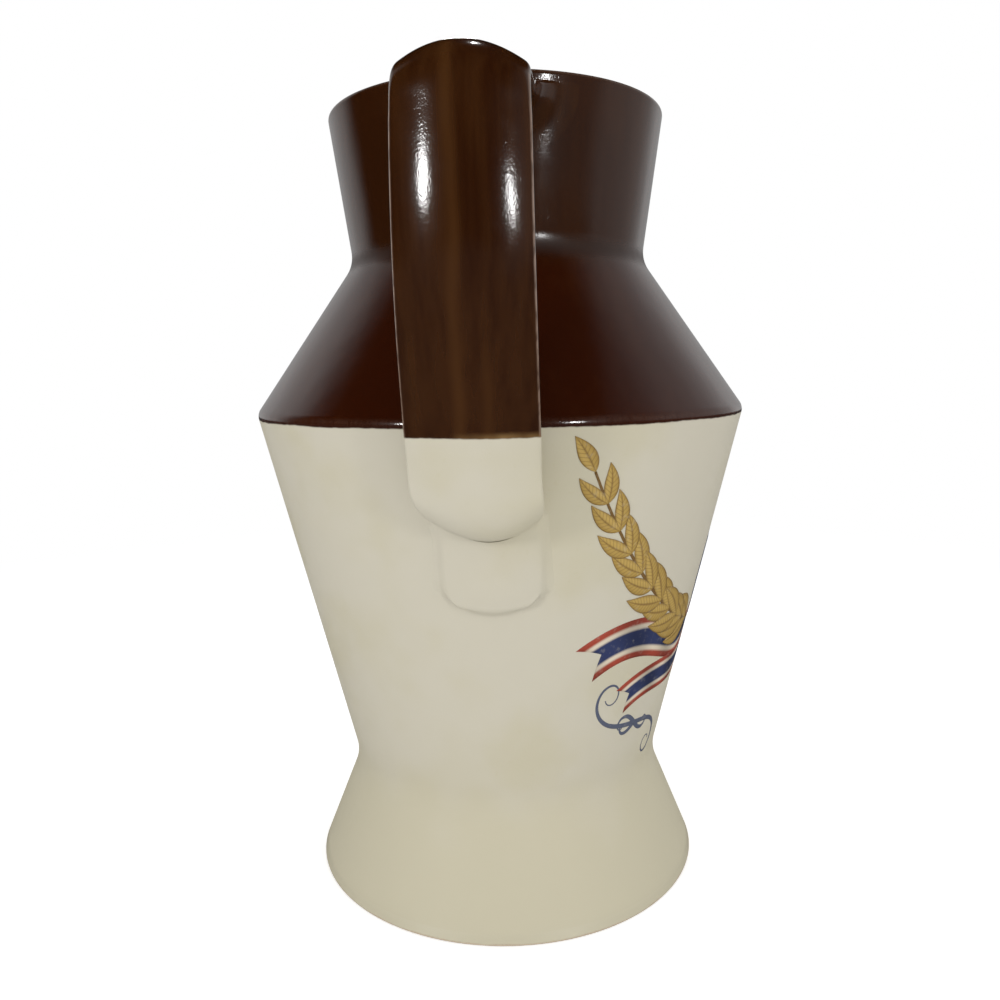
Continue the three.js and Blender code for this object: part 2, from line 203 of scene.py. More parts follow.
def room():
    """White for the lens. For light it is a fill that grows to the camera's right. Reflections
    see its far side grey, a little dimmer straight ahead and to the right, and its near side
    dark, with a dark ceiling over the camera, a dark patch above the far wall, and a weak glow
    on the right."""
    world = bpy.data.worlds.new("room")
    bpy.context.scene.world = world
    world.use_nodes = True
    tree = world.node_tree
    tree.nodes.clear()
    view = add_node(tree, "TexCoord").outputs["Generated"]
    level = stretched(tree, view, (1, 1, 0))
    bearing = add_node(tree, "VectorMath", {0: level}, operation="NORMALIZE").outputs[0]

    def along(direction, low, high, start, end, kind="SMOOTHSTEP", sight=view):
        """How far the sight goes along one direction, mapped from low..high to start..end."""
        facing = add_node(tree, "VectorMath", {0: sight, 1: direction}, operation="DOT_PRODUCT")
        return ramp(tree, facing.outputs["Value"], low, high, start, end, kind)

    round_by = math.atan2(towards_camera.y, towards_camera.x) - ROOM_DARK_SIDE
    dark_way = (math.cos(round_by), math.sin(round_by), 0)
    far_low = (-towards_camera - Vector((0, 0, CEILING_STEEPNESS))).normalized()
    far_up = -math.cos(OVERHEAD) * towards_camera + Vector((0, 0, math.sin(OVERHEAD)))
    mirrored = along(dark_way, ROOM_BRIGHT_BEHIND, ROOM_DARK_BEFORE, ROOM_BRIGHT, 0.0)
    for share in (
        along(far_low, CEILING_DARK, CEILING_LIT, 0.0, 1.0),
        along(far_up, OVERHEAD_SEEN, OVERHEAD_DARK, 1.0, 0.0),
        along(level_right, RIGHT_FROM, RIGHT_TO, 1.0, RIGHT_SHARE, sight=bearing),
        along(-towards_camera, FAR_FROM, 1.0, 1.0, FAR_SHARE),
    ):
        mirrored = maths(tree, "MULTIPLY", mirrored, share)
    glow = along(level_right, GLOW_FROM, GLOW_TO, 0.0, RIGHT_GLOW)
    mirrored = maths(tree, "ADD", mirrored, glow)
    fill = along(level_right, -1.0, 1.0, ROOM_FILL_LEFT, ROOM_FILL_RIGHT, "LINEAR")
    for_lens, for_gloss, for_fill = (
        add_node(tree, "Background", {"Color": WHITE, "Strength": strength}).outputs[0]
        for strength in (1.0, mirrored, fill)
    )
    seen = add_node(tree, "LightPath").outputs
    for_light = mixed(tree, seen["Is Glossy Ray"], for_fill, for_gloss)
    add_node(tree, "OutputWorld", {"Surface": mixed(tree, seen["Is Camera Ray"], for_light, for_lens)})


def soft_lamp(name, side, height, distance, width, tall, watts):
    """An oval lamp that faces the pitcher, at an angle round it from the camera's
    direction (to the camera's right where positive), a height and a distance."""
    light = bpy.data.lights.new(name, "AREA")
    light.shape = "ELLIPSE"
    light.size = width
    light.size_y = tall
    light.energy = watts
    lamp = bpy.data.objects.new(name, light)
    bpy.context.scene.collection.objects.link(lamp)
    round_by = math.atan2(towards_camera.y, towards_camera.x) + math.radians(side)
    lamp.location = (AXIS_X + distance * math.cos(round_by), distance * math.sin(round_by), height)
    aim = Vector((AXIS_X, 0, AIM_HEIGHT)) - lamp.location
    lamp.rotation_euler = aim.to_track_quat("-Z", "Y").to_euler()


table_top()
room()
soft_lamp("left_lamp", side=-40.6, height=0.42, distance=1.2, width=0.18, tall=0.235, watts=3.6)
soft_lamp("right_lamp", side=32, height=0.334, distance=1.2, width=0.1, tall=0.21, watts=1.9)
soft_lamp("back_lamp", side=183, height=0.79, distance=1.2, width=0.1, tall=0.1, watts=1.3)
soft_lamp("high_lamp", side=172, height=1.69, distance=0.7, width=0.07, tall=0.3, watts=1.2)

# Fired body: one slip-cast shell of white clay, about 5 mm thick. Its outside is four
# straight cones with softened corners, and the inside follows it.

RIM_HEIGHT = 228.5
RIM_RADIUS = 49.5
NECK_HEIGHT = 187
NECK_RADIUS = 43.8
SHOULDER_HEIGHT = 143.6
SHOULDER_RADIUS = 74
WAIST_HEIGHT = 32.5
WAIST_RADIUS = 47.8
FOOT_RADIUS = 61.2
RIM_EASE = 1.4
NECK_EASE = 4
SHOULDER_EASE = 1.7
WAIST_EASE = 7
FOOT_EDGE_EASE = 1
WALL = 5
RING_WIDTH = 9
RING_HEIGHT = 3
FLOOR_TOP = 8.5
GLAZE_LINE = SHOULDER_HEIGHT - 1.4
EASE_STEPS = 14
STRAIGHT_STEP = 2.5
AROUND = 288
LIP_REACH = 17
LIP_RISE = 4
LIP_HALF_ANGLE = math.radians(36)
LIP_DEPTH_POWER = 1.7
LIP_RISE_POWER = 3
HAIR = 1e-6
NO_LENGTH = 1e-12


def parabola(start, corner, end, t):
    """The points at shares t of a parabola that leaves the start and reaches the end along the
    sides of the corner: squares of one less t and of t, and twice their product."""
    return (1 - t) ** 2 * start + 2 * t * (1 - t) * corner + t**2 * end


def eased(corners):
    """Points (radius, height) of a line through corners (radius, height, ease). Each inner
    corner is a parabola that starts and ends its ease away from the corner."""
    t = np.linspace(0, 1, EASE_STEPS + 1)[:, None]
    stretches = [np.array([corners[0][:2]], float)]
    for before, at, after in zip(corners, corners[1:], corners[2:]):
        corner = np.array(at[:2], float)
        back = np.array(before[:2]) - corner
        on = np.array(after[:2]) - corner
        start = corner + back / np.linalg.norm(back) * at[2]
        end = corner + on / np.linalg.norm(on) * at[2]
        stretches.append(parabola(start, corner, end, t))
    stretches.append(np.array([corners[-1][:2]], float))
    return np.concatenate(stretches)


def filled(line, step):
    """The same line with points added, so that no two are more than a step apart."""
    pieces = []
    for a, b in zip(line, line[1:]):
        count = max(1, math.ceil(np.linalg.norm(b - a) / step))
        pieces.append(a + (b - a) * (np.arange(count) / count)[:, None])
    return np.concatenate([*pieces, line[-1:]])


def offset_corners(corners, inward):
    """Corners of the line moved inwards: each new corner is where two moved sides cross."""
    at = np.array([corner[:2] for corner in corners], float)
    along = np.diff(at, axis=0)
    along /= np.linalg.norm(along, axis=1)[:, None]
    moved = at[:-1] + inward * np.stack([-along[:, 1], along[:, 0]], 1)
    inner = []
    for i, corner in enumerate(corners):
        if 0 < i < len(corners) - 1:
            sides = np.array([along[i - 1], -along[i]]).T
            reach = np.linalg.solve(sides, moved[i] - moved[i - 1])[0]
            place = moved[i - 1] + reach * along[i - 1]
        else:
            k = min(i, len(along) - 1)
            place = moved[k] + along[k] * (at[i, 1] - moved[k, 1]) / along[k, 1]
        inner.append((place[0], place[1], corner[2]))
    return inner


outer_corners = [
    (FOOT_RADIUS, 0, FOOT_EDGE_EASE),
    (WAIST_RADIUS, WAIST_HEIGHT, WAIST_EASE),
    (SHOULDER_RADIUS, SHOULDER_HEIGHT, SHOULDER_EASE),
    (NECK_RADIUS, NECK_HEIGHT, NECK_EASE),
    (RIM_RADIUS, RIM_HEIGHT, RIM_EASE),
]
inner_corners = offset_corners(outer_corners, WALL)
rim_middle = (RIM_RADIUS + inner_corners[-1][0]) / 2
outside = eased([(FOOT_RADIUS - RING_WIDTH / 2, 0), *outer_corners, (rim_middle, RIM_HEIGHT)])
inside = eased([inner_corners[0], *inner_corners[1:], (rim_middle, RIM_HEIGHT)])


def wall_radius(height):
    """The outside radius of the body at each height."""
    rising = outside[EASE_STEPS // 2:]
    return np.interp(height, rising[:, 1], rising[:, 0])


def with_heights(line, heights):
    """The line with a point added at each of the heights, found between its neighbours."""
    for height in heights:
        k = int(np.nonzero((line[:-1, 1] < height) & (line[1:, 1] >= height))[0][0])
        share = (height - line[k, 1]) / (line[k + 1, 1] - line[k, 1])
        line = np.insert(line, k + 1, line[k] + share * (line[k + 1] - line[k]), axis=0)
    keep = np.append(True, np.linalg.norm(np.diff(line, axis=0), axis=1) > HAIR)
    return line[keep]


def pull_lip(points):
    """The collar moved outwards and up within the lip's angle, most in its middle and at
    the rim: a raised cosine across, times a power of the height above the neck."""
    x, y, z = points[..., 0], points[..., 1], points[..., 2]
    angle = np.minimum(np.abs(np.arctan2(y, x)) / LIP_HALF_ANGLE, 1)
    across = np.cos(np.pi / 2 * angle) ** 2
    height = np.clip((z - NECK_HEIGHT) / (RIM_HEIGHT - NECK_HEIGHT), 0, None)
    radius = np.maximum(np.hypot(x, y), HAIR)
    grown = 1 + LIP_REACH * across * height**LIP_DEPTH_POWER / radius
    rise = LIP_RISE * across * height**LIP_RISE_POWER
    return np.stack([x * grown, y * grown, z + rise], -1)


def turned(line):
    """The line turned once round the pitcher's axis, as rows of points."""
    angle = np.arange(AROUND) * 2 * np.pi / AROUND
    radius, height = line[:, :1], line[:, 1:]
    flat = 0 * angle
    return np.stack([radius * np.cos(angle), radius * np.sin(angle), height + flat], -1)


def at_length_one(vectors):
    """Each vector over its length."""
    return vectors / np.maximum(np.linalg.norm(vectors, axis=-1, keepdims=True), NO_LENGTH)


def surface_normals(grid, closed_rows=False):
    """Unit normals of a grid of points that is closed round its second direction: the cross
    product of the differences between the neighbours each way."""
    if closed_rows:
        down = np.roll(grid, -1, 0) - np.roll(grid, 1, 0)
    else:
        down = np.gradient(grid, axis=0)
    round_ = np.roll(grid, -1, 1) - np.roll(grid, 1, 1)
    return at_length_one(np.cross(round_, down))


def grid_faces(rows, columns, first=0, closed_rows=False):
    """Four-sided faces of a grid that is closed round its second direction."""
    i = np.arange(rows if closed_rows else rows - 1)[:, None]
    j = np.arange(columns)[None, :]
    below, above = i * columns, (i + 1) % rows * columns
    right = (j + 1) % columns
    faces = np.stack([below + j, below + right, above + right, above + j], -1)
    return first + faces.reshape(-1, 4)


def capped(grid, middles, first=0):
    """Points of a grid that is closed round its second direction, then a middle for either
    end. Also the faces of the grid and of a fan to each middle."""
    count, columns = grid.shape[:2]
    middle, last = count * columns, (count - 1) * columns
    j = np.arange(columns)
    after = (j + 1) % columns
    start_fan = np.stack([np.full(columns, middle), after, j], 1)
    end_fan = np.stack([np.full(columns, middle + 1), last + j, last + after], 1)
    points = np.concatenate([grid.reshape(-1, 3), middles])
    return points, [grid_faces(count, columns, first), first + start_fan, first + end_fan]


def new_piece(name, points, faces, material, normals=None, attributes=None):
    """A piece from points in millimetres about the pitcher's axis. Its faces are turned
    outwards by the sign of the volume that they enclose."""
    points = np.asarray(points, float).reshape(-1, 3)
    faces = [np.asarray(block) for block in faces]
    volume = 0.0
    for block in faces:
        first = points[block[:, 0]]
        for k in range(1, block.shape[1] - 1):
            across = np.cross(points[block[:, k]], points[block[:, k + 1]])
            volume += np.einsum("ij,ij->", first, across)
    listed = [face for block in faces for face in block.tolist()]
    if volume < 0:
        listed = [face[::-1] for face in listed]
    mesh = bpy.data.meshes.new(name)
    placed = (points + (AXIS_X / MM, 0, 0)) * MM
    mesh.from_pydata(placed.tolist(), [], listed)
    mesh.polygons.foreach_set("use_smooth", np.ones(len(listed), bool))
    for key, values in (attributes or {}).items():
        layer = mesh.attributes.new(key, "FLOAT_VECTOR", "POINT")
        layer.data.foreach_set("vector", np.asarray(values, np.float32).ravel())
    if normals is not None:
        mesh.normals_split_custom_set_from_vertices(np.asarray(normals).reshape(-1, 3).tolist())
    mesh.materials.append(material)
    piece = bpy.data.objects.new(name, mesh)
    bpy.context.scene.collection.objects.link(piece)
    return piece


# Glazes: the dark brown one is glassy, streaked and redder below the neck, and pales where
# it stretches thin over an edge. The ivory one is satin, and stained towards the foot. They
# meet in a slightly wavy line.

BROWN_DEEP = (0.021, 0.0048, 0.0008, 1)
BROWN_WARM = (0.038, 0.0120, 0.0025, 1)
BROWN_STREAK = (0.066, 0.0245, 0.0055, 1)
BROWN_RED = (0.0350, 0.0050, 0.0005, 1)
BROWN_NECK = (0.0320, 0.0090, 0.0018, 1)
BROWN_THIN = (0.36, 0.25, 0.19, 1)
BROWN_FRINGE = (0.22, 0.125, 0.045, 1)
IVORY = (0.590, 0.552, 0.448, 1)
IVORY_CLOUD = (0.545, 0.500, 0.345, 1)
STRAP_STREAKS = ((1.7, 2.4, 0.62), (-4.3, 1.8, 0.35), (11.3, 2.4, 0.18))
LINE = GLAZE_LINE * MM
HANDLE_LINE_SAG = 0.9
LINE_WAVER = 0.75 * MM
FINE_WAVER = 0.55
LINE_SOFTNESS = 0.22 * MM
INSIDE_LINE = 161 * MM
INSIDE_SOFTNESS = 3 * MM
INSIDE_WAVER = 6 * MM
DRAWN_DOWN = (1, 1, 0.08)
THREADED_DOWN = (1, 1, 0.05)
HANDLE_WARMTH = 0.16
THREAD_WARMTH = 0.55
NECK_FROM = (NECK_HEIGHT - 8) * MM
NECK_FULL = (NECK_HEIGHT + 3) * MM
BODY_SHARE = 0.6
STREAK_WANDER = 3.0
FRINGE_HEIGHT = 1.7 * MM
FRINGE_SIDE = 5
CLOUD_STAIN = 0.55
SPECK_STAIN = 0.35
FOOT_STAIN = 0.6
STAIN_FROM = 60 * MM
STAIN_FULL = 22 * MM
STAIN_WAVER = 40 * MM
BROWN_ROUGHNESS = (0.075, 0.13)
IVORY_ROUGHNESS = (0.52, 0.62)
DULL_CREASE = 0.32
DULL_REACH = 4.5 * MM
RIPPLE_HEIGHT = 0.8
PEEL_HEIGHT = 0.11
GRAIN_HEIGHT = 0.07
PIT_DEPTH = 0.08
BROWN_STEP = 0.9


def carried(tree, name):
    """The three parts of an attribute that the piece carries."""
    vector = add_node(tree, "Attribute", attribute_name=name).outputs["Vector"]
    return add_node(tree, "SeparateXYZ", {0: vector}).outputs


def brown_colours(tree, place, height, over, thin, on_handle):
    """The brown glaze: mottled, with a few streaks down the strap, redder on the shoulder than
    on the neck, and paler where it is thin. A golden fringe ends it on one side of the strap.
    The heights have slow waves, and over is the place across the strap."""
    line_height, neck_height = height
    drawn = noise(tree, stretched(tree, place, DRAWN_DOWN), 95, 2, 0.45)
    patches = noise(tree, place, 30, 1)
    warmth = maths(tree, "MULTIPLY_ADD", drawn, 0.6, maths(tree, "MULTIPLY", patches, 0.6))
    warmth = maths(tree, "MULTIPLY_ADD", on_handle, HANDLE_WARMTH, warmth)
    threads = noise(tree, stretched(tree, place, THREADED_DOWN), 420, 2, 0.6)
    threads = maths(tree, "SUBTRACT", threads, 0.5)
    warmth = maths(tree, "MULTIPLY_ADD", threads, THREAD_WARMTH, warmth)
    colour = blended(tree, ramp(tree, warmth, 0.48, 0.88), BROWN_DEEP, BROWN_WARM)
    up_neck = ramp(tree, neck_height, NECK_FROM, NECK_FULL)
    on_body = maths(tree, "MULTIPLY_ADD", on_handle, -BODY_SHARE, BODY_SHARE)
    colour = blended(tree, on_body, colour, blended(tree, up_neck, BROWN_RED, BROWN_NECK))

    wander = noise(tree, stretched(tree, place, (0.3, 0.3, 1)), 40, 1)
    wander = maths(tree, "SUBTRACT", wander, 0.5)
    across = maths(tree, "MULTIPLY_ADD", wander, STREAK_WANDER, over)
    for centre, reach, strength in STRAP_STREAKS:
        off = maths(tree, "ABSOLUTE", maths(tree, "SUBTRACT", across, centre))
        band = maths(tree, "MULTIPLY", ramp(tree, off, 0.0, reach, strength, 0.0), on_handle)
        band = maths(tree, "MULTIPLY", band, ramp(tree, drawn, 0.36, 0.62, 0.45, 1.0))
        colour = blended(tree, band, colour, BROWN_STREAK)

    break_up = noise(tree, stretched(tree, place, (1, 1, 0.35)), 900, 2)
    broken = maths(tree, "MULTIPLY", thin, ramp(tree, break_up, 0.30, 0.62, 0.35, 1.0))
    colour = blended(tree, broken, colour, BROWN_THIN)
    near_line = ramp(tree, line_height, LINE, LINE + FRINGE_HEIGHT, 1.0, 0.0)
    patchy = ramp(tree, noise(tree, place, 120, 2), 0.40, 0.60, 0.5, 1.0)
    one_side = maths(tree, "MULTIPLY", ramp(tree, across, FRINGE_SIDE, -FRINGE_SIDE), on_handle)
    fringe = maths(tree, "MULTIPLY", near_line, maths(tree, "MULTIPLY", patchy, one_side))
    return blended(tree, fringe, colour, BROWN_FRINGE)


def ivory_colours(tree, place, height, slow):
    """The ivory glaze: clouded and speckled, and stained from some height down to the foot."""
    clouds = ramp(tree, noise(tree, place, 26, 3, 0.55), 0.44, 0.68)
    specks = ramp(tree, noise(tree, place, 700, 1), 0.66, 0.74, 0.0, SPECK_STAIN)
    low_down = maths(tree, "MULTIPLY_ADD", slow, STAIN_WAVER, height)
    low_down = ramp(tree, low_down, STAIN_FROM, STAIN_FULL, 0.0, FOOT_STAIN)
    stain = maths(tree, "MAXIMUM", maths(tree, "MULTIPLY", clouds, CLOUD_STAIN), low_down)
    colour = blended(tree, stain, IVORY, IVORY_CLOUD)
    return blended(tree, maths(tree, "MULTIPLY", specks, clouds), colour, IVORY_CLOUD)


def glaze_roughness(tree, place, height, brown, on_handle):
    """Glassy where it is brown, but dull in the crease at the neck, and satin elsewhere."""
    haze = noise(tree, place, 300, 3)
    glassy, satin = (
        ramp(tree, haze, 0.3, 0.7, *limits, "LINEAR")
        for limits in (BROWN_ROUGHNESS, IVORY_ROUGHNESS)
    )
    from_crease = maths(tree, "SUBTRACT", height, NECK_HEIGHT * MM)
    from_crease = maths(tree, "ABSOLUTE", from_crease)
    dull = ramp(tree, from_crease, 0.0, DULL_REACH, DULL_CREASE, 0.0)
    dull = maths(tree, "MAXIMUM", maths(tree, "SUBTRACT", dull, on_handle), 0.0)
    difference = maths(tree, "SUBTRACT", maths(tree, "ADD", glassy, dull), satin)
    return maths(tree, "MULTIPLY_ADD", difference, brown, satin)


def glaze_relief(tree, place, brown, on_handle):
    """Slow ripples, a fine peel, a finer grain on the handle and scattered pits in the brown
    glaze, which also stands a little higher than the ivory one."""
    ripple = noise(tree, stretched(tree, place, (1, 1, 0.5)), 120, 1)
    peel = noise(tree, place, 1900, 1)
    pit_field = ramp(tree, noise(tree, place, 60, 1), 0.50, 0.62)
    pits = ramp(tree, noise(tree, place, 1300, 0), 0.62, 0.80)
    grain = maths(tree, "MULTIPLY", noise(tree, place, 3600, 0), on_handle)
    grain = maths(tree, "MULTIPLY", grain, GRAIN_HEIGHT)
    peeled = maths(tree, "MULTIPLY_ADD", peel, PEEL_HEIGHT, grain)
    relief = maths(tree, "MULTIPLY_ADD", ripple, RIPPLE_HEIGHT, peeled)
    pitted = maths(tree, "MULTIPLY", maths(tree, "MULTIPLY", pits, pit_field), brown)
    relief = maths(tree, "SUBTRACT", relief, maths(tree, "MULTIPLY", pitted, PIT_DEPTH))
    return maths(tree, "MULTIPLY_ADD", brown, BROWN_STEP, relief)


def glaze_layer_group():
    """Where each glaze lies, and its colour, roughness and fine relief. The brown lies above
    the line, which wavers with slow and fine noise. Inside the mouth it runs out on a soft
    edge. The attribute glaze holds (inside, thinness over edges, handle), and strap holds the
    place across the strap first."""
    group = bpy.data.node_groups.new("two_glazes", "ShaderNodeTree")
    place = add_node(group, "TexCoord").outputs["Object"]
    height = add_node(group, "SeparateXYZ", {0: place}).outputs["Z"]
    is_inside, thin, on_handle = carried(group, "glaze")
    slow = maths(group, "SUBTRACT", noise(group, place, 55, 1), 0.5)
    fine = maths(group, "SUBTRACT", noise(group, place, 420, 2), 0.5)
    waver = maths(group, "ADD", slow, maths(group, "MULTIPLY", fine, FINE_WAVER))
    waved = maths(group, "ADD", height, maths(group, "MULTIPLY", waver, LINE_WAVER))
    waved = maths(group, "MULTIPLY_ADD", on_handle, HANDLE_LINE_SAG * MM, waved)
    above = ramp(group, waved, LINE - LINE_SOFTNESS, LINE + LINE_SOFTNESS)
    drift = maths(group, "ADD", height, maths(group, "MULTIPLY", slow, INSIDE_WAVER))
    above_inside = ramp(group, drift, INSIDE_LINE - INSIDE_SOFTNESS, INSIDE_LINE + INSIDE_SOFTNESS)
    outer_part = maths(group, "MULTIPLY", above, maths(group, "SUBTRACT", 1.0, is_inside))
    brown = maths(group, "ADD", outer_part, maths(group, "MULTIPLY", above_inside, is_inside))

    across = carried(group, "strap")["X"]
    brown_part = brown_colours(group, place, (waved, drift), across, thin, on_handle)
    ivory_part = ivory_colours(group, place, height, slow)
    results = {
        "Color": blended(group, brown, ivory_part, brown_part),
        "Roughness": glaze_roughness(group, place, height, brown, on_handle),
        "Height": glaze_relief(group, place, brown, on_handle),
        "Brown": brown,
    }
    end = group.nodes.new("NodeGroupOutput")
    for label, result in results.items():
        kind = "NodeSocketColor" if label == "Color" else "NodeSocketFloat"
        group.interface.new_socket(label, in_out="OUTPUT", socket_type=kind)
        group.links.new(result, end.inputs[label])
    return group


two_glazes = glaze_layer_group()
GLAZE_RELIEF = 0.12 * MM
GLAZE_IOR = 1.52
BROWN_HAZE = 0.15
HAZE_ROUGHNESS = 0.24


def skin(tree, inputs, relief, depth, strength=1.0):
    """A glazed or clay surface with those inputs, and the relief as bumps of that depth."""
    bump = add_node(tree, "Bump", {"Height": relief, "Strength": strength, "Distance": depth})
    surface = add_node(tree, "BsdfPrincipled", {**inputs, "Normal": bump.outputs[0]})
    add_node(tree, "OutputMaterial", {"Surface": surface.outputs[0]})


def glazed_surface(name, specular):
    """A fired glaze: the shared two-glaze pattern on a skin of that specular level."""
    material, tree = new_material(name)
    layers = add_node(tree, "Group", node_tree=two_glazes).outputs
    inputs = {
        "Base Color": layers["Color"],
        "Roughness": layers["Roughness"],
        "IOR": GLAZE_IOR,
        "Specular IOR Level": specular,
        "Coat Weight": maths(tree, "MULTIPLY", layers["Brown"], BROWN_HAZE),
        "Coat Roughness": HAZE_ROUGHNESS,
    }
    skin(tree, inputs, layers["Height"], GLAZE_RELIEF)
    return material


brown_glaze = glazed_surface("brown_glaze_skin", 0.5)
ivory_glaze = glazed_surface("ivory_glaze_skin", 0.25)

# Wall sections: foot, belly, shoulder and collar are one shell. They are parted here at the
# heights where the cones meet and at the glaze line, and share their points and normals.

RIM_THINNESS = 0.30
RIM_THIN_REACH = 0.9
EDGE_THINNESS = 0.05
EDGE_THIN_REACH = 1.2
PARTINGS = (RING_HEIGHT, WAIST_HEIGHT, GLAZE_LINE, NECK_HEIGHT)
outer_line = filled(with_heights(outside, PARTINGS), STRAIGHT_STEP)
inner_line = filled(with_heights(inside, PARTINGS), STRAIGHT_STEP)
shell_line = np.concatenate([outer_line, inner_line[-2::-1]])
shell = pull_lip(turned(shell_line))
shell_normals = surface_normals(shell)
OUTER_ROWS = len(outer_line)


def shell_rows(low, high):
    """The rows of the shell between two heights: up its outside and down its inside."""
    height = shell_line[:, 1]
    within = (height > low - HAIR) & (height < high + HAIR)
    return np.nonzero(within)[0]


def glaze_facts(rows):
    """The glaze attribute of shell points: inside, thin over the rim's two edges and the
    shoulder's edge, and not on the handle."""
    radius, height = shell_line[rows].T
    inner = (rows >= OUTER_ROWS).astype(float)
    to_edge = np.clip(np.abs(radius - rim_middle) / (WALL / 2 - RIM_EASE / 2), 0, 1)
    at_rim = np.clip(1 - np.abs(RIM_HEIGHT - height) / RIM_THIN_REACH, 0, 1) * to_edge**2
    at_edge = np.clip(1 - np.abs(SHOULDER_HEIGHT - height) / EDGE_THIN_REACH, 0, 1) * (1 - inner)
    thin = RIM_THINNESS * at_rim + EDGE_THINNESS * at_edge
    return np.repeat(np.stack([inner, thin, 0 * inner], 1)[:, None], AROUND, 1)


def wall_section(name, node, material, low, high):
    """One closed ring of the shell between two heights, cut flat at both."""
    rows = shell_rows(low, high)
    faces = grid_faces(len(rows), AROUND, closed_rows=True)
    piece = new_piece(
        name, shell[rows], [faces], material, shell_normals[rows], {"glaze": glaze_facts(rows)}
    )
    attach(piece, "root")
    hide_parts(node)


wall_section("foot_cone", "flared_foot", ivory_glaze, RING_HEIGHT, WAIST_HEIGHT)
wall_section("belly_cone", "belly_wall", ivory_glaze, WAIST_HEIGHT, GLAZE_LINE)
wall_section("shoulder_cone", "shoulder", brown_glaze, GLAZE_LINE, NECK_HEIGHT)
wall_section("collar", "neck_and_lip", brown_glaze, NECK_HEIGHT, RIM_HEIGHT)

# Foot ring: the lowest 3 mm of the foot. Its face was wiped clean of glaze before firing,
# so bare clay shows there, and the ivory glaze ends in a line just above the table.

CLAY = (0.56, 0.47, 0.35, 1)
CLAY_GRIT = (0.47, 0.38, 0.27, 1)
CLAY_RELIEF = 0.08 * MM
RING_INNER_EASE = 1.2
WIPED_HEIGHT = 0.9 * MM
WIPED_WAVER = 0.8 * MM
WIPED_SOFTNESS = 0.3 * MM


def wiped_clay():
    """Bare clay where the ring was wiped, by height, and ivory glaze above and outside."""
    material, tree = new_material("wiped_foot_ring")
    glaze_colour = add_node(tree, "Group", node_tree=two_glazes).outputs["Color"]
    place = add_node(tree, "TexCoord").outputs["Object"]
    height = add_node(tree, "SeparateXYZ", {0: place}).outputs["Z"]
    waved = maths(tree, "MULTIPLY_ADD", noise(tree, place, 160, 2), WIPED_WAVER, height)
    glazed = ramp(tree, waved, WIPED_HEIGHT, WIPED_HEIGHT + WIPED_SOFTNESS)
    grit = noise(tree, place, 1800, 4, 0.7)
    clay = blended(tree, ramp(tree, grit, 0.35, 0.7), CLAY, CLAY_GRIT)
    inputs = {
        "Base Color": blended(tree, glazed, clay, glaze_colour),
        "Roughness": ramp(tree, glazed, 0.0, 1.0, 0.85, 0.36),
    }
    skin(tree, inputs, grit, CLAY_RELIEF, strength=0.6)
    return material


ring_inside = FOOT_RADIUS - RING_WIDTH
lowest_rows = outer_line[outer_line[:, 1] < RING_HEIGHT + HAIR]
ring_back = eased([
    (ring_inside, RING_HEIGHT),
    (ring_inside, 0, RING_INNER_EASE),
    (FOOT_RADIUS - RING_WIDTH / 2, 0),
])
ring_grid = turned(np.concatenate([lowest_rows, ring_back[:-1]]))
ring_faces = grid_faces(len(ring_grid), AROUND, closed_rows=True)
ring_facts = {"glaze": np.zeros_like(ring_grid)}
foot_ring = new_piece("standing_ring", ring_grid, [ring_faces], wiped_clay(), attributes=ring_facts)
CREASE_ANGLE = math.radians(40)
foot_ring.data.set_sharp_from_angle(angle=CREASE_ANGLE)
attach(foot_ring, "root")
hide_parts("foot_ring")

# Floor: the closed bottom inside the foot, recessed from the table by the ring's height.
# Slip gathers in the corner, so its top curves up into the wall.

FLOOR_CORNER = 6
FLOOR_INSET = 0.05
FLOOR_STEP = 4
JUST_PAST = 1.001


def floor_disc():
    """The floor's outline, from the middle of its top out, up the rounded corner, down the
    wall and back under it, turned once round, with one point at each end on the axis. The
    corner's side is a hair longer than its ease, so that no two points fall together."""
    def inner_radius(height):
        """The inside radius of the wall at that height."""
        return np.interp(height, inner_line[:, 1], inner_line[:, 0])

    corner_top = FLOOR_TOP + FLOOR_CORNER
    top = eased([
        (FLOOR_CORNER, FLOOR_TOP),
        (inner_radius(FLOOR_TOP), FLOOR_TOP, FLOOR_CORNER),
        (inner_radius(corner_top), FLOOR_TOP + FLOOR_CORNER * JUST_PAST),
    ])
    beside = inner_line[(inner_line[:, 1] < corner_top) & (inner_line[:, 1] > RING_HEIGHT)]
    down = beside[::-1] - (FLOOR_INSET, 0)
    under = np.array([(inner_radius(RING_HEIGHT), RING_HEIGHT), (FLOOR_CORNER, RING_HEIGHT)])
    line = filled(np.concatenate([top, down, under]), FLOOR_STEP)
    return capped(turned(line), [[0, 0, FLOOR_TOP], [0, 0, RING_HEIGHT]])


floor_points, floor_faces = floor_disc()
inside_floor = np.zeros_like(floor_points)
inside_floor[:, 0] = 1
floor_facts = {"glaze": inside_floor}
bottom = new_piece("bottom", floor_points, floor_faces, ivory_glaze, attributes=floor_facts)
bottom.data.set_sharp_from_angle(angle=CREASE_ANGLE)
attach(bottom, "root")
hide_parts("floor")

# Handle: one broad strap, pressed with a crowned outer face, narrow side corners and a flatter
# back. It leaves the collar with a fillet, bends down, and rolls in to a pad on the belly.

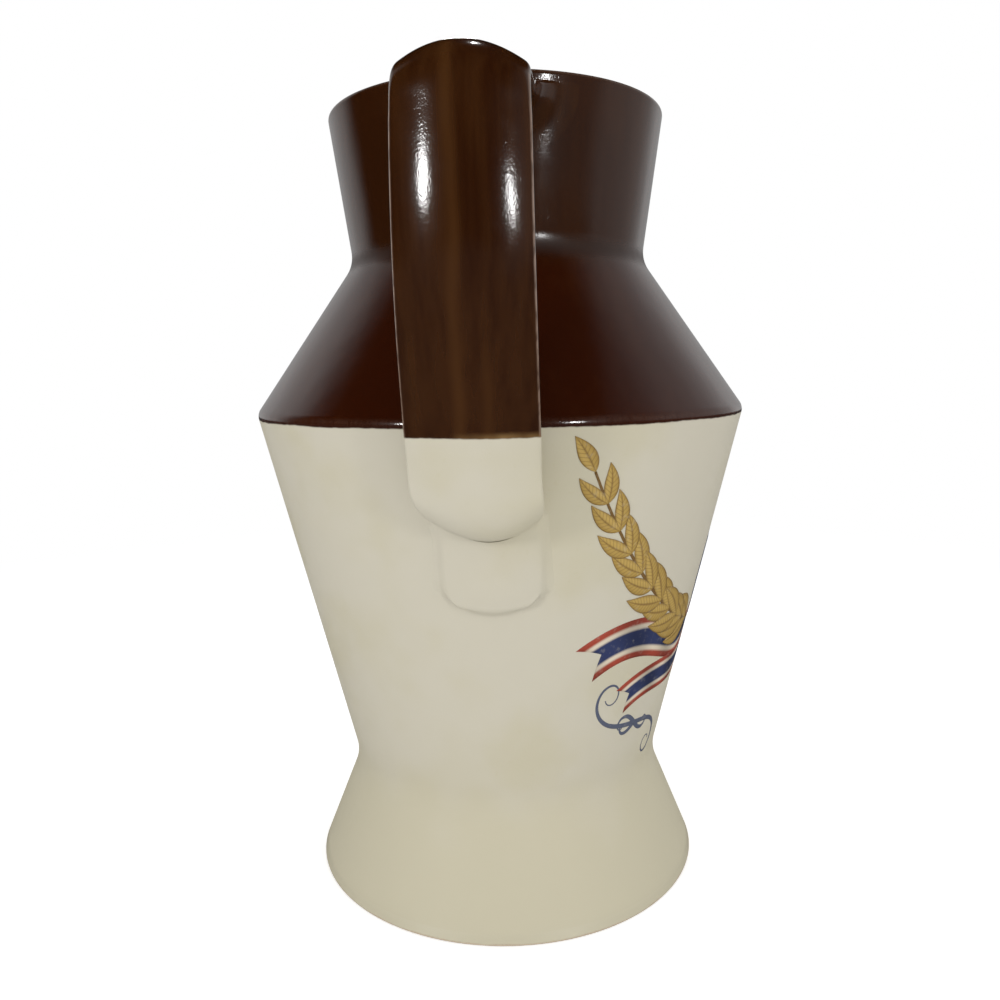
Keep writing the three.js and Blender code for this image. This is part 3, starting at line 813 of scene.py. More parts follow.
HANDLE_THICKNESS = 9.6
HAND_SPACE = 39.7
EDGE_GAP = 6.8
ARM_ROOT_DROP = 1.4
ARM_SLOPE_DROP = 7.5
ARM_WIDTH = 28
STRAP_WIDTH = 30.3
PAD_WIDTH = 23.2
CROWN = 5
STRAP_CROWN = 4.05
ROOT_CROWN = 2.2
HEEL_CROWN = 5
PAD_CROWN = 3.1
BEND_EASE_OUTSIDE = 9.5
BEND_EASE_INSIDE = 6
STRAP_BOW = 6.6
BOW_BELOW_TOP = 44
BOW_EASE = 23
HEEL_BELOW_EDGE = 28.3
HEEL_EASE = 11
HEEL_CORNER = 10
GAP_BOTTOM_ABOVE_HEEL = 12
GAP_BOTTOM_EASE = 7
CREASE_EASE = 3
PAD_LENGTH = 19.9
PAD_PROUD = 3
PAD_END_EASE = 2
PAD_END_CROWN = 1.4
PAD_CORNER = 5
CORNER_EASE = 0.8
BEND_CORNER_EASE = 1.6
BEND_REACH = 18
BACK_SQUARENESS = 2.8
ROOT_FILLET = 10.5
ROOT_REACH = 16
ROOT_SOFTNESS = 0.45
TOP_FILLET = 0.7
ROOT_DEPTH = 11
ROOT_SUNK = 0.05
HEEL_FILLET = 4.2
PAD_FILLET = 5
PAD_END_FILLET = 2
FILLET_LEAN = math.radians(17)
BURIED = 1.2
LEAN_ASIDE = math.radians(1.9)
LEAN_FROM = 132
LEAN_TO = 112
TILT_FROM = 150
TILT_TOP = 0.03
ARM = 0
BOW = 2
HEEL = 4
CREASE = 5
NEARLY = 0.999
SETTLING_STEPS = 26
ARM_SAMPLES = 90
ARM_ROWS = 46
ARM_GROWTH = 1.8
BEND_ROWS = 30
BOW_ROWS = 44
EDGE_ROWS = 8
HEEL_ROWS = 34
CREASE_ROWS = 12
PAD_ROWS = 34
FACE_POINTS = 44
CORNER_POINTS = 6
BACK_POINTS = 40


def toward(start, end, distance):
    """The point that lies a distance from one point towards another."""
    step = np.subtract(end, start)
    return start + step * distance / np.linalg.norm(step)


def crossing(a, along_a, b, along_b):
    """Where two straight lines cross, each given by a point and a direction."""
    reach = np.linalg.solve(np.array([along_a, -np.asarray(along_b)]).T, np.subtract(b, a))[0]
    return a + reach * np.asarray(along_a)


def length_so_far(line):
    """The length of a line up to each of its points."""
    return np.append(0, np.cumsum(np.linalg.norm(np.diff(line, axis=0), axis=1)))


def spaced(line, count):
    """Points evenly spaced along a line."""
    length = length_so_far(line)
    at = np.linspace(0, length[-1], count)
    return np.stack([np.interp(at, length, line[:, k]) for k in (0, 1)], 1)


def bent(start, corner, end, ease, count):
    """Evenly spaced points of a straight line, a parabola round the corner, and a line."""
    return spaced(eased([tuple(start), (*corner, ease), tuple(end)]), count)


def joined(lines):
    """Lines that each start where the one before ends, as one line."""
    return np.concatenate([lines[0], *(line[1:] for line in lines[1:])])


def inner_side(point, direction):
    """The point of the back straight across the thickness."""
    return point + HANDLE_THICKNESS * np.array([direction[1], -direction[0]])


def unit(vector):
    """The vector at length 1."""
    return vector / np.linalg.norm(vector)


def eased_share(value, start, end):
    """0 at start, 1 at end, and a smooth S between them: three squares less two cubes."""
    t = np.clip((value - start) / (end - start), 0, 1)
    return t**2 * (3 - 2 * t)


LEVEL = (1, 0)
arm_level = RIM_HEIGHT - ARM_ROOT_DROP
arm_start = np.array([RIM_RADIUS, arm_level])
strap_top = np.array([RIM_RADIUS + HAND_SPACE + HANDLE_THICKNESS, arm_level - ARM_SLOPE_DROP])
strap_at_edge = np.array([SHOULDER_RADIUS + EDGE_GAP + HANDLE_THICKNESS, SHOULDER_HEIGHT])
arm_out = unit(strap_top - arm_start)
bow_height = strap_top[1] - BOW_BELOW_TOP
bow = crossing(strap_top, unit(strap_at_edge - strap_top), (0, bow_height), LEVEL) + (STRAP_BOW, 0)
strap_out = unit(bow - strap_top)
strap_down = unit(strap_at_edge - bow)
heel_height = SHOULDER_HEIGHT - HEEL_BELOW_EDGE
gap_bottom = heel_height + GAP_BOTTOM_ABOVE_HEEL
pad_end = heel_height - PAD_LENGTH
heel_corner = crossing(bow, strap_down, (0, heel_height), LEVEL)
crease_corner = np.array([wall_radius(heel_height) + PAD_PROUD, heel_height])
pad_end_corner = np.array([wall_radius(pad_end) + PAD_PROUD, pad_end])
back_top = crossing(inner_side(strap_top, arm_out), arm_out, inner_side(strap_top, strap_out), strap_out)
back_bow = crossing(inner_side(bow, strap_out), strap_out, inner_side(bow, strap_down), strap_down)
gap_corner = crossing(back_bow, strap_down, (0, gap_bottom), LEVEL)


def handle_paths():
    """Matching points down the middle of the outer face and of the back, and how many there are
    up to the end of each stretch: arm, bend, bow, edge, heel, crease and pad. Where one glaze
    ends, both are at one height. Some eases are a hair shorter than their sides, so that no two
    points fall together."""
    in_wall = crossing(strap_top, arm_out, (wall_radius(arm_level) - ROOT_DEPTH, 0), (0, 1))
    back_in_wall = inner_side(in_wall, arm_out)
    bend_reach = HANDLE_THICKNESS + BEND_EASE_INSIDE
    bend_start = toward(strap_top, arm_start, bend_reach)
    back_arm_end = toward(back_top, back_in_wall, BEND_EASE_INSIDE)
    bend_end = toward(strap_top, bow, bend_reach)
    back_bend_end = toward(back_top, back_bow, BEND_EASE_INSIDE)
    line_height = GLAZE_LINE - HANDLE_LINE_SAG
    edge = crossing(bow, strap_down, (0, line_height), LEVEL)
    back_edge = crossing(back_bow, strap_down, (0, line_height), LEVEL)
    heel_start = toward(heel_corner, bow, HEEL_EASE)
    gap_start = toward(gap_corner, back_bow, GAP_BOTTOM_EASE)
    crease_start = toward(crease_corner, heel_corner, CREASE_EASE)
    gap_end = np.array([wall_radius(gap_bottom) - WALL / 2, gap_bottom])
    behind_pad = np.array([wall_radius(heel_height) - WALL / 2, heel_height])
    pad_start = toward(crease_corner, pad_end_corner, CREASE_EASE)
    pad_in_wall = np.array([wall_radius(pad_end) - WALL / 2, pad_end - PAD_END_EASE])
    share = np.linspace(0, 1, ARM_SAMPLES)[:, None]
    stretches = [
        (in_wall + (bend_start - in_wall) * share,
         back_in_wall + (back_arm_end - back_in_wall) * share),
        (bent(bend_start, strap_top, bend_end, BEND_EASE_OUTSIDE, BEND_ROWS),
         bent(back_arm_end, back_top, back_bend_end, BEND_EASE_INSIDE * NEARLY, BEND_ROWS)),
        (bent(bend_end, bow, edge, BOW_EASE, BOW_ROWS),
         bent(back_bend_end, back_bow, back_edge, BOW_EASE, BOW_ROWS)),
        (spaced(np.array([edge, heel_start]), EDGE_ROWS),
         spaced(np.array([back_edge, gap_start]), EDGE_ROWS)),
        (bent(heel_start, heel_corner, crease_start, HEEL_EASE * NEARLY, HEEL_ROWS),
         bent(gap_start, gap_corner, gap_end, GAP_BOTTOM_EASE * NEARLY, HEEL_ROWS)),
        (bent(crease_start, crease_corner, pad_start, CREASE_EASE * NEARLY, CREASE_ROWS),
         spaced(np.array([gap_end, behind_pad]), CREASE_ROWS)),
        (bent(pad_start, pad_end_corner, pad_in_wall, PAD_END_EASE, PAD_ROWS),
         spaced(np.array([behind_pad, pad_in_wall - (1, 0)]), PAD_ROWS)),
    ]
    outer, back = map(joined, zip(*stretches))
    ends = np.cumsum([len(line) for line, _ in stretches]) - np.arange(len(stretches))
    return outer, back, ends


def station_sizes(outer, ends):
    """The width, crown, corner ease and fillet at each point of the outer path. The width grows
    down the strap, and shrinks round the heel and at the pad's rounded end."""
    row = np.arange(len(outer))
    reach, height = outer.T
    top_reach, top = strap_top
    root = wall_radius(arm_level)
    down_strap = np.clip((top - height) / (top - SHOULDER_HEIGHT), 0, 1)
    width = ARM_WIDTH + (STRAP_WIDTH - ARM_WIDTH) * down_strap
    lowered = np.clip((heel_height + HEEL_CORNER - height) / HEEL_CORNER, 0, 1)
    width = PAD_WIDTH + (width - PAD_WIDTH) * np.sqrt(1 - lowered**2)
    last = np.clip((height - pad_end) / PAD_CORNER, 0, 1)
    rounding = PAD_CORNER * (1 - np.sqrt(1 - (1 - last) ** 2))
    width = width - 2 * np.where(row >= ends[CREASE], rounding, 0)

    rooted = eased_share(reach, root + ROOT_REACH, root) * (row < ends[ARM])
    flatter = eased_share(height, top, top - BEND_EASE_OUTSIDE) * (row >= ends[ARM])
    at_pad = eased_share(height, heel_height, heel_height - CREASE_EASE)
    at_end = eased_share(height, pad_end + PAD_CORNER, pad_end)
    crown = CROWN + (ROOT_CROWN - CROWN) * rooted
    crown = crown + (STRAP_CROWN - CROWN) * flatter
    crown = crown + (HEEL_CROWN - STRAP_CROWN) * eased_share(lowered, 0, 1)
    crown = crown + (PAD_CROWN - HEEL_CROWN) * at_pad
    crown = crown + (PAD_END_CROWN - PAD_CROWN) * at_end
    pad_fillet = PAD_FILLET + (PAD_END_FILLET - PAD_FILLET) * at_end
    fillet = np.where(row < ends[HEEL], HEEL_FILLET, pad_fillet)

    at_bend = eased_share(reach, top_reach - BEND_REACH, top_reach - HANDLE_THICKNESS)
    at_bend *= eased_share(height, top - BEND_REACH, top - BEND_EASE_OUTSIDE / 2)
    corner = CORNER_EASE + (BEND_CORNER_EASE - CORNER_EASE) * at_bend
    return width, crown, corner, fillet


def strap_ring(outer, back, width, crown, corner):
    """Rings of points: a parabola across the face, a small parabola round each side corner, and
    a squared ellipse round the back. Returns the rings, and for each point its place across
    and its distance from the nearest corner."""
    depth = back - outer
    thickness = np.linalg.norm(depth, axis=1)[:, None]
    inward = depth / thickness
    half, crown, corner = width[:, None] / 2, crown[:, None], corner[:, None]
    body = thickness - crown
    slope = 2 * crown / half
    share = 1 - corner / half / np.sqrt(1 + slope**2)
    face = share * np.linspace(-1, 1, FACE_POINTS)
    face_across, face_depth = half * face, crown * face**2
    deep = np.clip(corner / body, 0, 0.5)
    start = np.arcsin(deep ** (BACK_SQUARENESS / 2))
    turn = start + (np.pi - 2 * start) * np.linspace(0, 1, BACK_POINTS)
    side = np.sign(np.cos(turn)) * np.abs(np.cos(turn)) ** (2 / BACK_SQUARENESS)
    back_across = half * side
    back_depth = crown + body * np.sin(turn) ** (2 / BACK_SQUARENESS)
    t = np.linspace(0, 1, CORNER_POINTS + 2)[1:-1]
    right_across = parabola(face_across[:, -1:], half, back_across[:, :1], t)
    right_depth = parabola(face_depth[:, -1:], crown, back_depth[:, :1], t)
    across = np.concatenate([face_across, right_across, back_across, -right_across[:, ::-1]], 1)
    into = np.concatenate([face_depth, right_depth, back_depth, right_depth[:, ::-1]], 1)
    reach = outer[:, None] + inward[:, None] * into[..., None]
    rings = np.stack([-reach[..., 0], across, reach[..., 1]], -1)
    from_corner = np.hypot(half - np.abs(across), crown - into)
    return rings, across, from_corner


def wall_lean(height):
    """How much the body's radius grows over one millimetre about each height."""
    return wall_radius(height + 0.5) - wall_radius(height - 0.5)


def from_axis(points):
    """How far points are from the pitcher's axis."""
    return np.hypot(points[..., 0], points[..., 1])


def clear_of_wall(points):
    """How far points are from the body's outside, positive outside it, along the wall's normal."""
    height = points[..., 2]
    return (from_axis(points) - wall_radius(height)) / np.hypot(1, wall_lean(height))


def round_fillet(gap):
    """The share of its flare that a point takes at a gap from the wall, given in radii. With
    l = the lean's cosine less the gap, it is one less the root of one less l squared."""
    left = np.clip(math.cos(FILLET_LEAN) - gap, 0, 1)
    return 1 - np.sqrt(1 - left**2)


def soft_fillet(gap):
    """The same for a fillet that fades in to the wall: the share and the gap, each raised to
    the softness, add up to 1."""
    return (1 - np.clip(gap, 0, 1) ** ROOT_SOFTNESS) ** (1 / ROOT_SOFTNESS)


def narrowed(low, high, is_low):
    """Two values that close in on where the test is_low stops being true, by halving."""
    for _ in range(SETTLING_STEPS):
        middle = (low + high) / 2
        still = is_low(middle)
        low = np.where(still, middle, low)
        high = np.where(still, high, middle)
    return low, high


def filleted(points, flares, share_at):
    """Each point moved out by the share of its flare that the fillet has at its new distance
    from the wall."""
    reach = np.linalg.norm(flares, axis=-1)

    def too_little(share):
        """Whether the fillet asks for more than that share."""
        return share_at(clear_of_wall(points + flares * share[..., None]) / reach) > share

    share, _ = narrowed(np.zeros(reach.shape), np.ones(reach.shape), too_little)
    return points + flares * share[..., None]


def kept_under_skin(points):
    """Points that lie deep in the wall, laid just under its surface instead."""
    bound = wall_radius(points[..., 2]) - BURIED
    radial = from_axis(points)
    pulled = np.where(radial < bound, bound / np.maximum(radial, HAIR), 1)
    return points * np.stack([pulled, pulled, np.ones_like(pulled)], -1)


def between_rows(grid, place):
    """Values of a grid at fractional row numbers, which are given for each column."""
    low = np.clip(np.floor(place).astype(int), 0, len(grid) - 2)
    column = np.arange(grid.shape[1])[None, :]
    share = (place - low)[..., None] if grid.ndim == 3 else place - low
    return grid[low, column] * (1 - share) + grid[low + 1, column] * share


def root_places(arm, flares):
    """Fractional row numbers for the arm, from the wall out. Each column starts where its
    fillet touches the wall at its full depth, and goes on in growing steps."""
    def in_wall(place):
        """Whether the arm with its full flare is still in the wall there."""
        return clear_of_wall(between_rows(arm, place) + between_rows(flares, place)) <= -ROOT_SUNK

    last = len(arm) - 1
    wall_end = np.zeros((1, arm.shape[1]))
    _, first = narrowed(wall_end, wall_end + last, in_wall)
    return first + (last - first) * np.linspace(0, 1, ARM_ROWS)[:, None] ** ARM_GROWTH


def wall_normals(points):
    """The outward normals of the body's outside beside the points."""
    level = points[..., :2] / from_axis(points)[..., None]
    return at_length_one(np.concatenate([level, -wall_lean(points[..., 2:])], -1))


outer_path, back_path, stretch_ends = handle_paths()
widths, crowns, corners, fillets = station_sizes(outer_path, stretch_ends)
path_length = length_so_far(outer_path)
plain, across_strap, from_corner = strap_ring(outer_path, back_path, widths, crowns, corners)
leaning = LEAN_ASIDE * eased_share(plain[..., 2], LEAN_FROM, LEAN_TO)
turned_x = plain[..., 0] * np.cos(leaning) - plain[..., 1] * np.sin(leaning)
turned_y = plain[..., 0] * np.sin(leaning) + plain[..., 1] * np.cos(leaning)
plain = np.stack([turned_x, turned_y, plain[..., 2]], -1)
plain_normals = surface_normals(plain)
outwards = np.sign(np.einsum("ijk,ijk->", plain_normals, plain - plain.mean(1, keepdims=True)))
plain_normals *= outwards
along_strap = path_length[:, None] + 0 * across_strap

# The arm's rows start at the wall column by column, and the rest keep the stations' rows.
SKIN_REACH = 0.9
arm_end = int(stretch_ends[ARM])
root_flares = plain_normals[:arm_end] * ROOT_FILLET
root_flares[..., 2] *= np.where(root_flares[..., 2] > 0, TOP_FILLET / ROOT_FILLET, 1)
places = root_places(plain[:arm_end], root_flares)
arm, arm_flares = (between_rows(grid, places) for grid in (plain[:arm_end], root_flares))
arm = filleted(arm, arm_flares, soft_fillet)
strap_flares = plain_normals[arm_end:] * fillets[arm_end:, None, None]
strap = filleted(plain[arm_end:], strap_flares, round_fillet)
handle = np.concatenate([arm, strap])
handle_normals = surface_normals(handle) * outwards
beside = 1 - eased_share(clear_of_wall(handle), 0.0, SKIN_REACH)
handle_normals += (wall_normals(handle) - handle_normals) * beside[..., None]
handle_normals = at_length_one(handle_normals)
skirt = arm[:1].copy()
skirt[..., :2] *= 1 - BURIED / from_axis(skirt)[..., None]
handle = np.concatenate([skirt, arm, kept_under_skin(strap)])
tilted = eased_share(-handle[..., 0], RIM_RADIUS + ROOT_REACH / 2, strap_top[0] - HANDLE_THICKNESS)
tilted *= eased_share(handle[..., 2], TILT_FROM, strap_top[1])
handle[..., 2] += TILT_TOP * handle[..., 1] * tilted
handle_normals = np.concatenate([handle_normals[:1], handle_normals])


def along_rows(values):
    """A value of the plain rings, carried over to the finished rows."""
    rooted = between_rows(values[:arm_end], places)
    return np.concatenate([rooted[:1], rooted, values[arm_end:]])


across_strap, from_corner, along_strap = map(along_rows, (across_strap, from_corner, along_strap))
ROWS_ADDED = 1 + ARM_ROWS - arm_end
EDGE_LINE_FROM = 6
EDGE_LINE_FULL = 16
EDGE_LINE_REACH = 0.55
EDGE_LINE_STRENGTH = 1.1
edge_shown = eased_share(along_strap - path_length[arm_end], EDGE_LINE_FROM, EDGE_LINE_FULL)


def handle_section(name, node, material, first, last):
    """The handle's rings from one station to another, closed by a fan at each end."""
    rows = slice(first, last + 1)
    grid = handle[rows]
    points, faces = capped(grid, grid[[0, -1]].mean(1))
    thin = np.clip(EDGE_LINE_STRENGTH - from_corner[rows] / EDGE_LINE_REACH, 0, 1)
    thin *= edge_shown[rows]
    facts = np.stack([0 * thin, thin, 0 * thin + 1], -1)
    place = np.stack([across_strap[rows], along_strap[rows], from_corner[rows]], -1)
    end_normals = np.array([[1, 0, 0], [0, 0, -1]], float)
    normals = np.concatenate([handle_normals[rows].reshape(-1, 3), end_normals])
    facts, place = (
        np.concatenate([values.reshape(-1, 3), np.zeros((2, 3))]) for values in (facts, place)
    )
    piece = new_piece(name, points, faces, material, normals, {"glaze": facts, "strap": place})
    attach(piece, "root")
    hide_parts(node)


edge_row = int(stretch_ends[BOW]) - 1 + ROWS_ADDED
crease_row = int(stretch_ends[HEEL]) - 1 + ROWS_ADDED
end_row = len(handle) - 1
handle_section("strap", "handle_strap", brown_glaze, 0, edge_row)
handle_section("strap_heel", "handle_heel", ivory_glaze, edge_row, crease_row)
handle_section("strap_pad", "handle_pad", ivory_glaze, crease_row, end_row)

# Painted decoration: enamels fired onto the ivory glaze on the side that faces -Y, mirrored
# about its middle. Each stroke is a thin slab that follows the belly, a little proud of the
# glaze, and leaves and ribbons that overlap lie in separate layers.

LAYER = 0.013
PAINT_SUNK = 0.25
PAINT_RADIUS = 64
GOLD = np.array((0.37, 0.235, 0.050))
GOLD_LIGHT = np.array((0.52, 0.35, 0.095))
GOLD_DARK = np.array((0.19, 0.105, 0.030))
BLUE = np.array((0.033, 0.046, 0.130))
RED = np.array((0.38, 0.058, 0.032))
PALE = np.array((0.72, 0.62, 0.48))
SLATE = np.array((0.10, 0.115, 0.17))
VEIN_SLANT = -1.6
VEINS = 5.2
WORN = 0.18
ENAMEL_RELIEF = 0.05 * MM
painted_points, painted_faces, painted_colours, painted_strokes = [], [], [], []


def on_belly(u, v, lift):
    """The point of the belly a length u round from its -Y side and at height v, moved out by
    the lift: the angle is u over a middle radius."""
    angle = u / PAINT_RADIUS - np.pi / 2
    radius = wall_radius(v) + lift
    return np.stack([radius * np.cos(angle), radius * np.sin(angle), v], -1)


def slab(u, v, colour, stroke, proud):
    """A thin closed slab over a grid of places: its top a little proud of the glaze, its bottom
    sunk into it, with a strip of faces round its edge. It is added twice, the second time
    mirrored about the middle of the decoration."""
    for side in (1, -1):
        columns = slice(None, None, side)
        shape = (side * u)[:, columns], v[:, columns]
        top = on_belly(*shape, proud)
        bottom = on_belly(*shape, -PAINT_SUNK)
        ring = np.concatenate([top, bottom[:, ::-1]], 1)
        rows, around = ring.shape[:2]
        first = sum(map(len, painted_points))
        j = np.arange(around // 2 - 1)
        start_cap = np.stack([j, j + 1, around - 2 - j, around - 1 - j], 1)[:, ::-1]
        end_cap = start_cap[:, ::-1] + (rows - 1) * around
        painted_points.append(ring.reshape(-1, 3))
        painted_faces.extend([grid_faces(rows, around, first), first + start_cap, first + end_cap])
        for store, values in ((painted_colours, colour), (painted_strokes, stroke)):
            values = values[:, columns]
            store.append(np.concatenate([values, values[:, ::-1]], 1).reshape(-1, 3))


def curve(corners, share):
    """Points and headings of a cubic curve through four control points, at shares 0..1."""
    a, b, c, d = (np.array(corner, float) for corner in corners)
    t = np.asarray(share, float)[..., None]
    point = (1 - t) ** 3 * a + 3 * t * (1 - t) ** 2 * b + 3 * t**2 * (1 - t) * c + t**3 * d
    way = 3 * (1 - t) ** 2 * (b - a) + 6 * t * (1 - t) * (c - b) + 3 * t**2 * (d - c)
    return point, np.arctan2(way[..., 1], way[..., 0])


def band(path, half_width, colour_at, proud, rows=60, columns=17, fork=0.0):
    """A band along a path, which gives points and headings at shares 0..1. Its half width is a
    function of the share, its end is drawn back in the middle by the fork, and its colour is
    a function of the shares along and across."""
    s = np.linspace(0, 1, rows)[:, None]
    t = np.linspace(-1, 1, columns)[None, :]
    along = s * (1 - fork * (1 - np.abs(t)))
    middle, heading = path(along)
    half = half_width(along)
    u = middle[..., 0] - np.sin(heading) * half * t
    v = middle[..., 1] + np.cos(heading) * half * t
    slab(u, v, colour_at(along, t + 0 * s), np.zeros(u.shape + (3,)), proud)


def plain_colour(colour):
    """The same colour all over a band."""
    return lambda along, across: colour + 0 * across[..., None]


def enamel():
    """Satin enamel in the colour that each point carries. The gold leaves have fine slanting
    veins, and all of it is a little uneven, as brushed colour is."""
    material, tree = new_material("painted_enamel")
    along, off, veined = carried(tree, "stroke")
    place = add_node(tree, "TexCoord").outputs["Object"]
    slant = maths(tree, "MULTIPLY_ADD", off, VEIN_SLANT, along)
    veins = maths(tree, "SINE", maths(tree, "MULTIPLY", slant, VEINS))
    veins = maths(tree, "MULTIPLY", ramp(tree, veins, 0.45, 0.95, 0.0, 0.42), veined)
    colour = add_node(tree, "Attribute", attribute_name="paint").outputs["Color"]
    colour = blended(tree, veins, colour, (*GOLD_DARK, 1))
    worn = ramp(tree, noise(tree, place, 520, 3, 0.6), 0.54, 0.74, 0.0, WORN)
    inputs = {
        "Base Color": blended(tree, worn, colour, IVORY),
        "Roughness": ramp(tree, worn, 0.0, 0.3, 0.40, 0.55),
        "Specular IOR Level": 0.35,
    }
    skin(tree, inputs, noise(tree, place, 900, 2), ENAMEL_RELIEF, strength=0.5)
    return material


def paint(name):
    """What has been painted so far, as one piece of the pitcher."""
    points, colours, strokes = map(np.concatenate, (painted_points, painted_colours, painted_strokes))
    carried_by = {"paint": colours, "stroke": strokes}
    piece = new_piece(name, points, painted_faces, painted_enamel, attributes=carried_by)
    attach(piece, "root")
    for store in (painted_points, painted_faces, painted_colours, painted_strokes):
        store.clear()


painted_enamel = enamel()

# Painted leaves: a golden spray on either side, brushed in enamel and fired on. Pairs of
# overlapping leaves grow from a thin stem, get smaller towards its end, and curl a little.

LEAF_PROUD = 0.10
LAYERS = 6
LEAF_ROWS = 22
LEAF_COLUMNS = 11
LEAF_FULLNESS = 0.8
RIB_REACH = 0.12
RIB_DARK = 0.8
EDGE_FROM = 0.72
EDGE_DARK = 0.75
TIP_FROM = 0.85
TIP_DARK = 0.4
SPRAY_STEM = ((-9, 80), (-36, 80), (-60, 96), (-75, 131))
SPRAY_FROM = 0.16
LEAF_PAIRS = 10
LEAF_LENGTH = 18.5
LEAF_SHRINK = 8
LEAF_SPREAD = 38
LEAF_STRAY = 5
LEAF_VARIED = 0.06
LEAF_SLENDER = 0.35
LEAF_CURL = 0.55
paint_random = np.random.default_rng(7)


def stem_half(share):
    """The stem's half width, which shrinks evenly."""
    return 0.75 - 0.45 * share


def leaf(root, heading, length, width, curl, proud):
    """A leaf whose midrib turns evenly by the curl. Its half width is a half wave of the share
    along it to the power 0.8. One half is lighter, and its rib, edge and tip are dark."""
    s = np.linspace(0, 1, LEAF_ROWS)[:, None]
    t = np.linspace(-1, 1, LEAF_COLUMNS)[None, :]
    turned_by = heading + curl * s
    step = np.concatenate([np.cos(turned_by), np.sin(turned_by)], 1) * length / (LEAF_ROWS - 1)
    rib = root + np.cumsum(step, 0) - step[:1]
    half = 0.05 + width / 2 * np.sin(np.pi * s**LEAF_FULLNESS)
    u = rib[:, :1] - np.sin(turned_by) * half * t
    v = rib[:, 1:] + np.cos(turned_by) * half * t
    light = np.clip(0.5 + 0.5 * t * np.sign(curl) + 0.25 * np.sin(np.pi * s), 0, 1)[..., None]
    colour = GOLD + (GOLD_LIGHT - GOLD) * light
    dark = EDGE_DARK * np.clip((np.abs(t) - EDGE_FROM) / (1 - EDGE_FROM), 0, 1)
    dark = dark + RIB_DARK * np.clip(1 - np.abs(t) / RIB_REACH, 0, 1)
    dark = dark + TIP_DARK * np.clip((s - TIP_FROM) / (1 - TIP_FROM), 0, 1)
    colour = colour + (GOLD_DARK - colour) * np.clip(dark, 0, 1)[..., None]
    stroke = np.stack([s * length + 0 * t, np.abs(t) + 0 * s, 1 + 0 * s * t], -1)
    slab(u, v, colour, stroke, proud)


spray = functools.partial(curve, SPRAY_STEM)
band(spray, stem_half, plain_colour(GOLD_DARK), LEAF_PROUD, columns=5)
for k in range(LEAF_PAIRS):
    share = SPRAY_FROM + (1 - SPRAY_FROM) * k / LEAF_PAIRS
    root, heading = spray(share)
    length = LEAF_LENGTH - LEAF_SHRINK * share
    for side in (1, -1):
        proud = LEAF_PROUD + LAYER * ((2 * k + (side > 0)) % LAYERS + 1)
        spread = side * math.radians(LEAF_SPREAD + LEAF_STRAY * paint_random.uniform(-1, 1))
        size = length * (1 + LEAF_VARIED * paint_random.uniform(-1, 1))
        leaf(root, heading + spread, size, LEAF_SLENDER * size, -side * LEAF_CURL, proud)
leaf(*spray(1.0), length=10.5, width=4.2, curl=0.25, proud=LEAF_PROUD + LAYER)
paint("painted_leaves")

# Painted ribbons: two striped tails on either side, brushed in blue, pale and red enamel and
# fired on. They leave the rosette in soft waves, widen, and end in a shallow fork.

RIBBON_PROUD = 0.05
RIBBONS = (
    (((-11, 84), (-30, 64), (-46, 94), (-72, 77)), 6.0),
    (((-8, 78), (-20, 58), (-38, 74), (-56, 63)), 4.8),
)
RIBBON_BLUE = 0.42
RIBBON_PALE = 0.70
RIBBON_FORK = 0.07
RIBBON_FOLDS = 21
RIBBON_SHADE = 0.20


def ribbon_colours(along, across):
    """Blue in the middle, then pale, then red at both edges, shaded by the ribbon's folds."""
    off = np.abs(across)[..., None]
    colour = np.where(off < RIBBON_BLUE, BLUE, np.where(off < RIBBON_PALE, PALE, RED))
    fold = 1 - RIBBON_SHADE + RIBBON_SHADE * np.cos(along * RIBBON_FOLDS + across * 0.8)
    return colour * fold[..., None]


def widening_to(half):
    """A ribbon's half width at each share along it: it starts at 0.55 of the full one, grows by
    a squared quarter wave, and then stays."""
    return lambda share: half * (0.55 + 0.45 * np.sin(np.pi * np.clip(share * 1.6, 0, 0.5)) ** 2)


for layer, (corners, half) in enumerate(RIBBONS):
    path = functools.partial(curve, corners)
    proud = RIBBON_PROUD + LAYER * layer
    band(path, widening_to(half), ribbon_colours, proud, fork=RIBBON_FORK)
paint("painted_ribbons")

# Painted rosette: a pleated disc in rings of enamel round a gold button, fired on over the
# ends of the sprays and ribbons. It stands the furthest proud of all the painted pieces.

ROSETTE_PROUD = 0.20
ROSETTE_AT = (0, 92)
ROSETTE_RADIUS = 16.5
ROSETTE_HOLE = 0.04
ROSETTE_ROWS = 26
BUTTON = 0.26
RED_RING = 0.50
PALE_RING = 0.74
PLEATS = 24
PLEAT_SCALLOP = 0.035
PLEAT_SHADE = 0.18


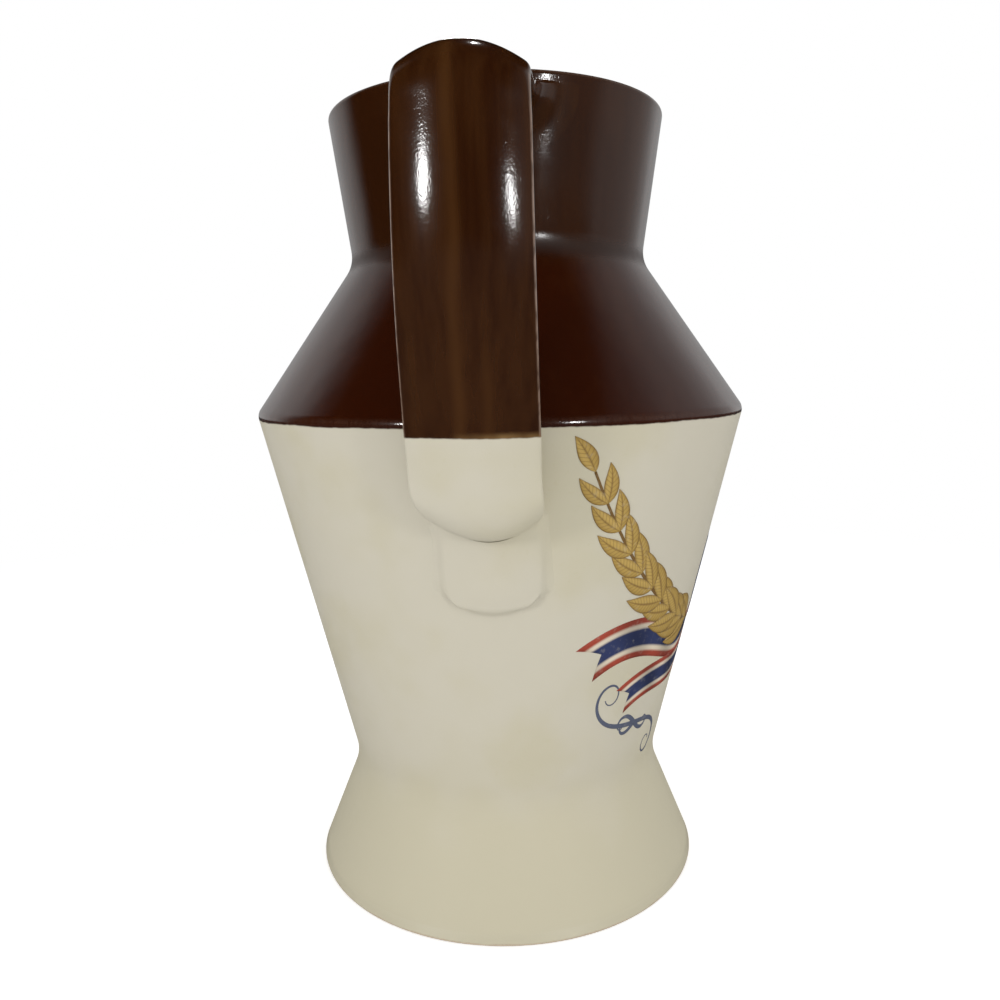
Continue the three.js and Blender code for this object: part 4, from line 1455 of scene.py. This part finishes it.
def pleated_rosette():
    """A round rosette: rings of blue, pale and red round a gold button, with its edge scalloped
    and its colour darkened by a wave of the angle, once for each pleat."""
    angle = np.arange(PLEATS * 6) * 2 * np.pi / (PLEATS * 6)
    outwards = np.linspace(ROSETTE_HOLE, 1, ROSETTE_ROWS)
    share = np.concatenate([outwards, outwards[::-1]])[:, None]
    reach = ROSETTE_RADIUS * share * (1 + PLEAT_SCALLOP * np.cos(PLEATS * angle) * share**4)
    u = ROSETTE_AT[0] + reach * np.cos(angle)
    v = ROSETTE_AT[1] + reach * np.sin(angle)
    levels = np.array([ROSETTE_PROUD, -PAINT_SUNK])
    grid = on_belly(u, v, np.repeat(levels, ROSETTE_ROWS)[:, None] + 0 * u)
    middles = on_belly(np.zeros(2), np.full(2, float(ROSETTE_AT[1])), levels)
    points, faces = capped(grid, middles, sum(map(len, painted_points)))
    painted_points.append(points)
    painted_faces.extend(faces)
    off = (share + 0 * angle)[..., None]
    colour = np.where(off < PALE_RING, PALE, BLUE)
    colour = np.where(off < RED_RING, RED, colour)
    colour = np.where(off < BUTTON, GOLD, colour)
    pleat = 1 - PLEAT_SHADE + PLEAT_SHADE * np.cos(PLEATS * angle)[None, :, None]
    colour = (colour * np.where(off < BUTTON, 1, pleat)).reshape(-1, 3)
    painted_colours.append(np.concatenate([colour, [GOLD, GOLD]]))
    painted_strokes.append(np.zeros_like(points))


pleated_rosette()
paint("painted_rosette")

# Painted scroll: thin brush strokes of slate blue enamel below the ribbons, fired on. On
# either side they all start from one point, and curl round as they taper.

SCROLL_AT = (-46, 54)
SCROLLS = ((176, 45, -7.5), (-4, 40, -7.5), (140, 15, 5.0), (-40, 13, 5.0), (215, 12, -4.5))


def curling(root, heading, length, turn):
    """A path that starts straight and curls round: its heading grows by the turn times the
    share to the power 2.6."""
    s = np.linspace(0, 1, 200)
    headings = heading + turn * s**2.6
    steps = np.stack([np.cos(headings), np.sin(headings)], 1) * length / (len(s) - 1)
    points = root + np.cumsum(steps, 0) - steps[0]

    def at(share):
        """The point and heading at that share."""
        u, v = (np.interp(share, s, points[:, k]) for k in (0, 1))
        return np.stack([u, v], -1), np.interp(share, s, headings)

    return at


def tapering(share):
    """A scroll's half width at each share along it: a quarter wave down, to the power 1.5."""
    return 0.16 + 0.62 * np.sin(np.pi * np.clip(0.5 - 0.5 * share, 0, 1)) ** 1.5


for heading, length, turn in SCROLLS:
    path = curling(np.array(SCROLL_AT), math.radians(heading), length, turn)
    band(path, tapering, plain_colour(SLATE), RIBBON_PROUD, columns=5)
paint("painted_scroll")
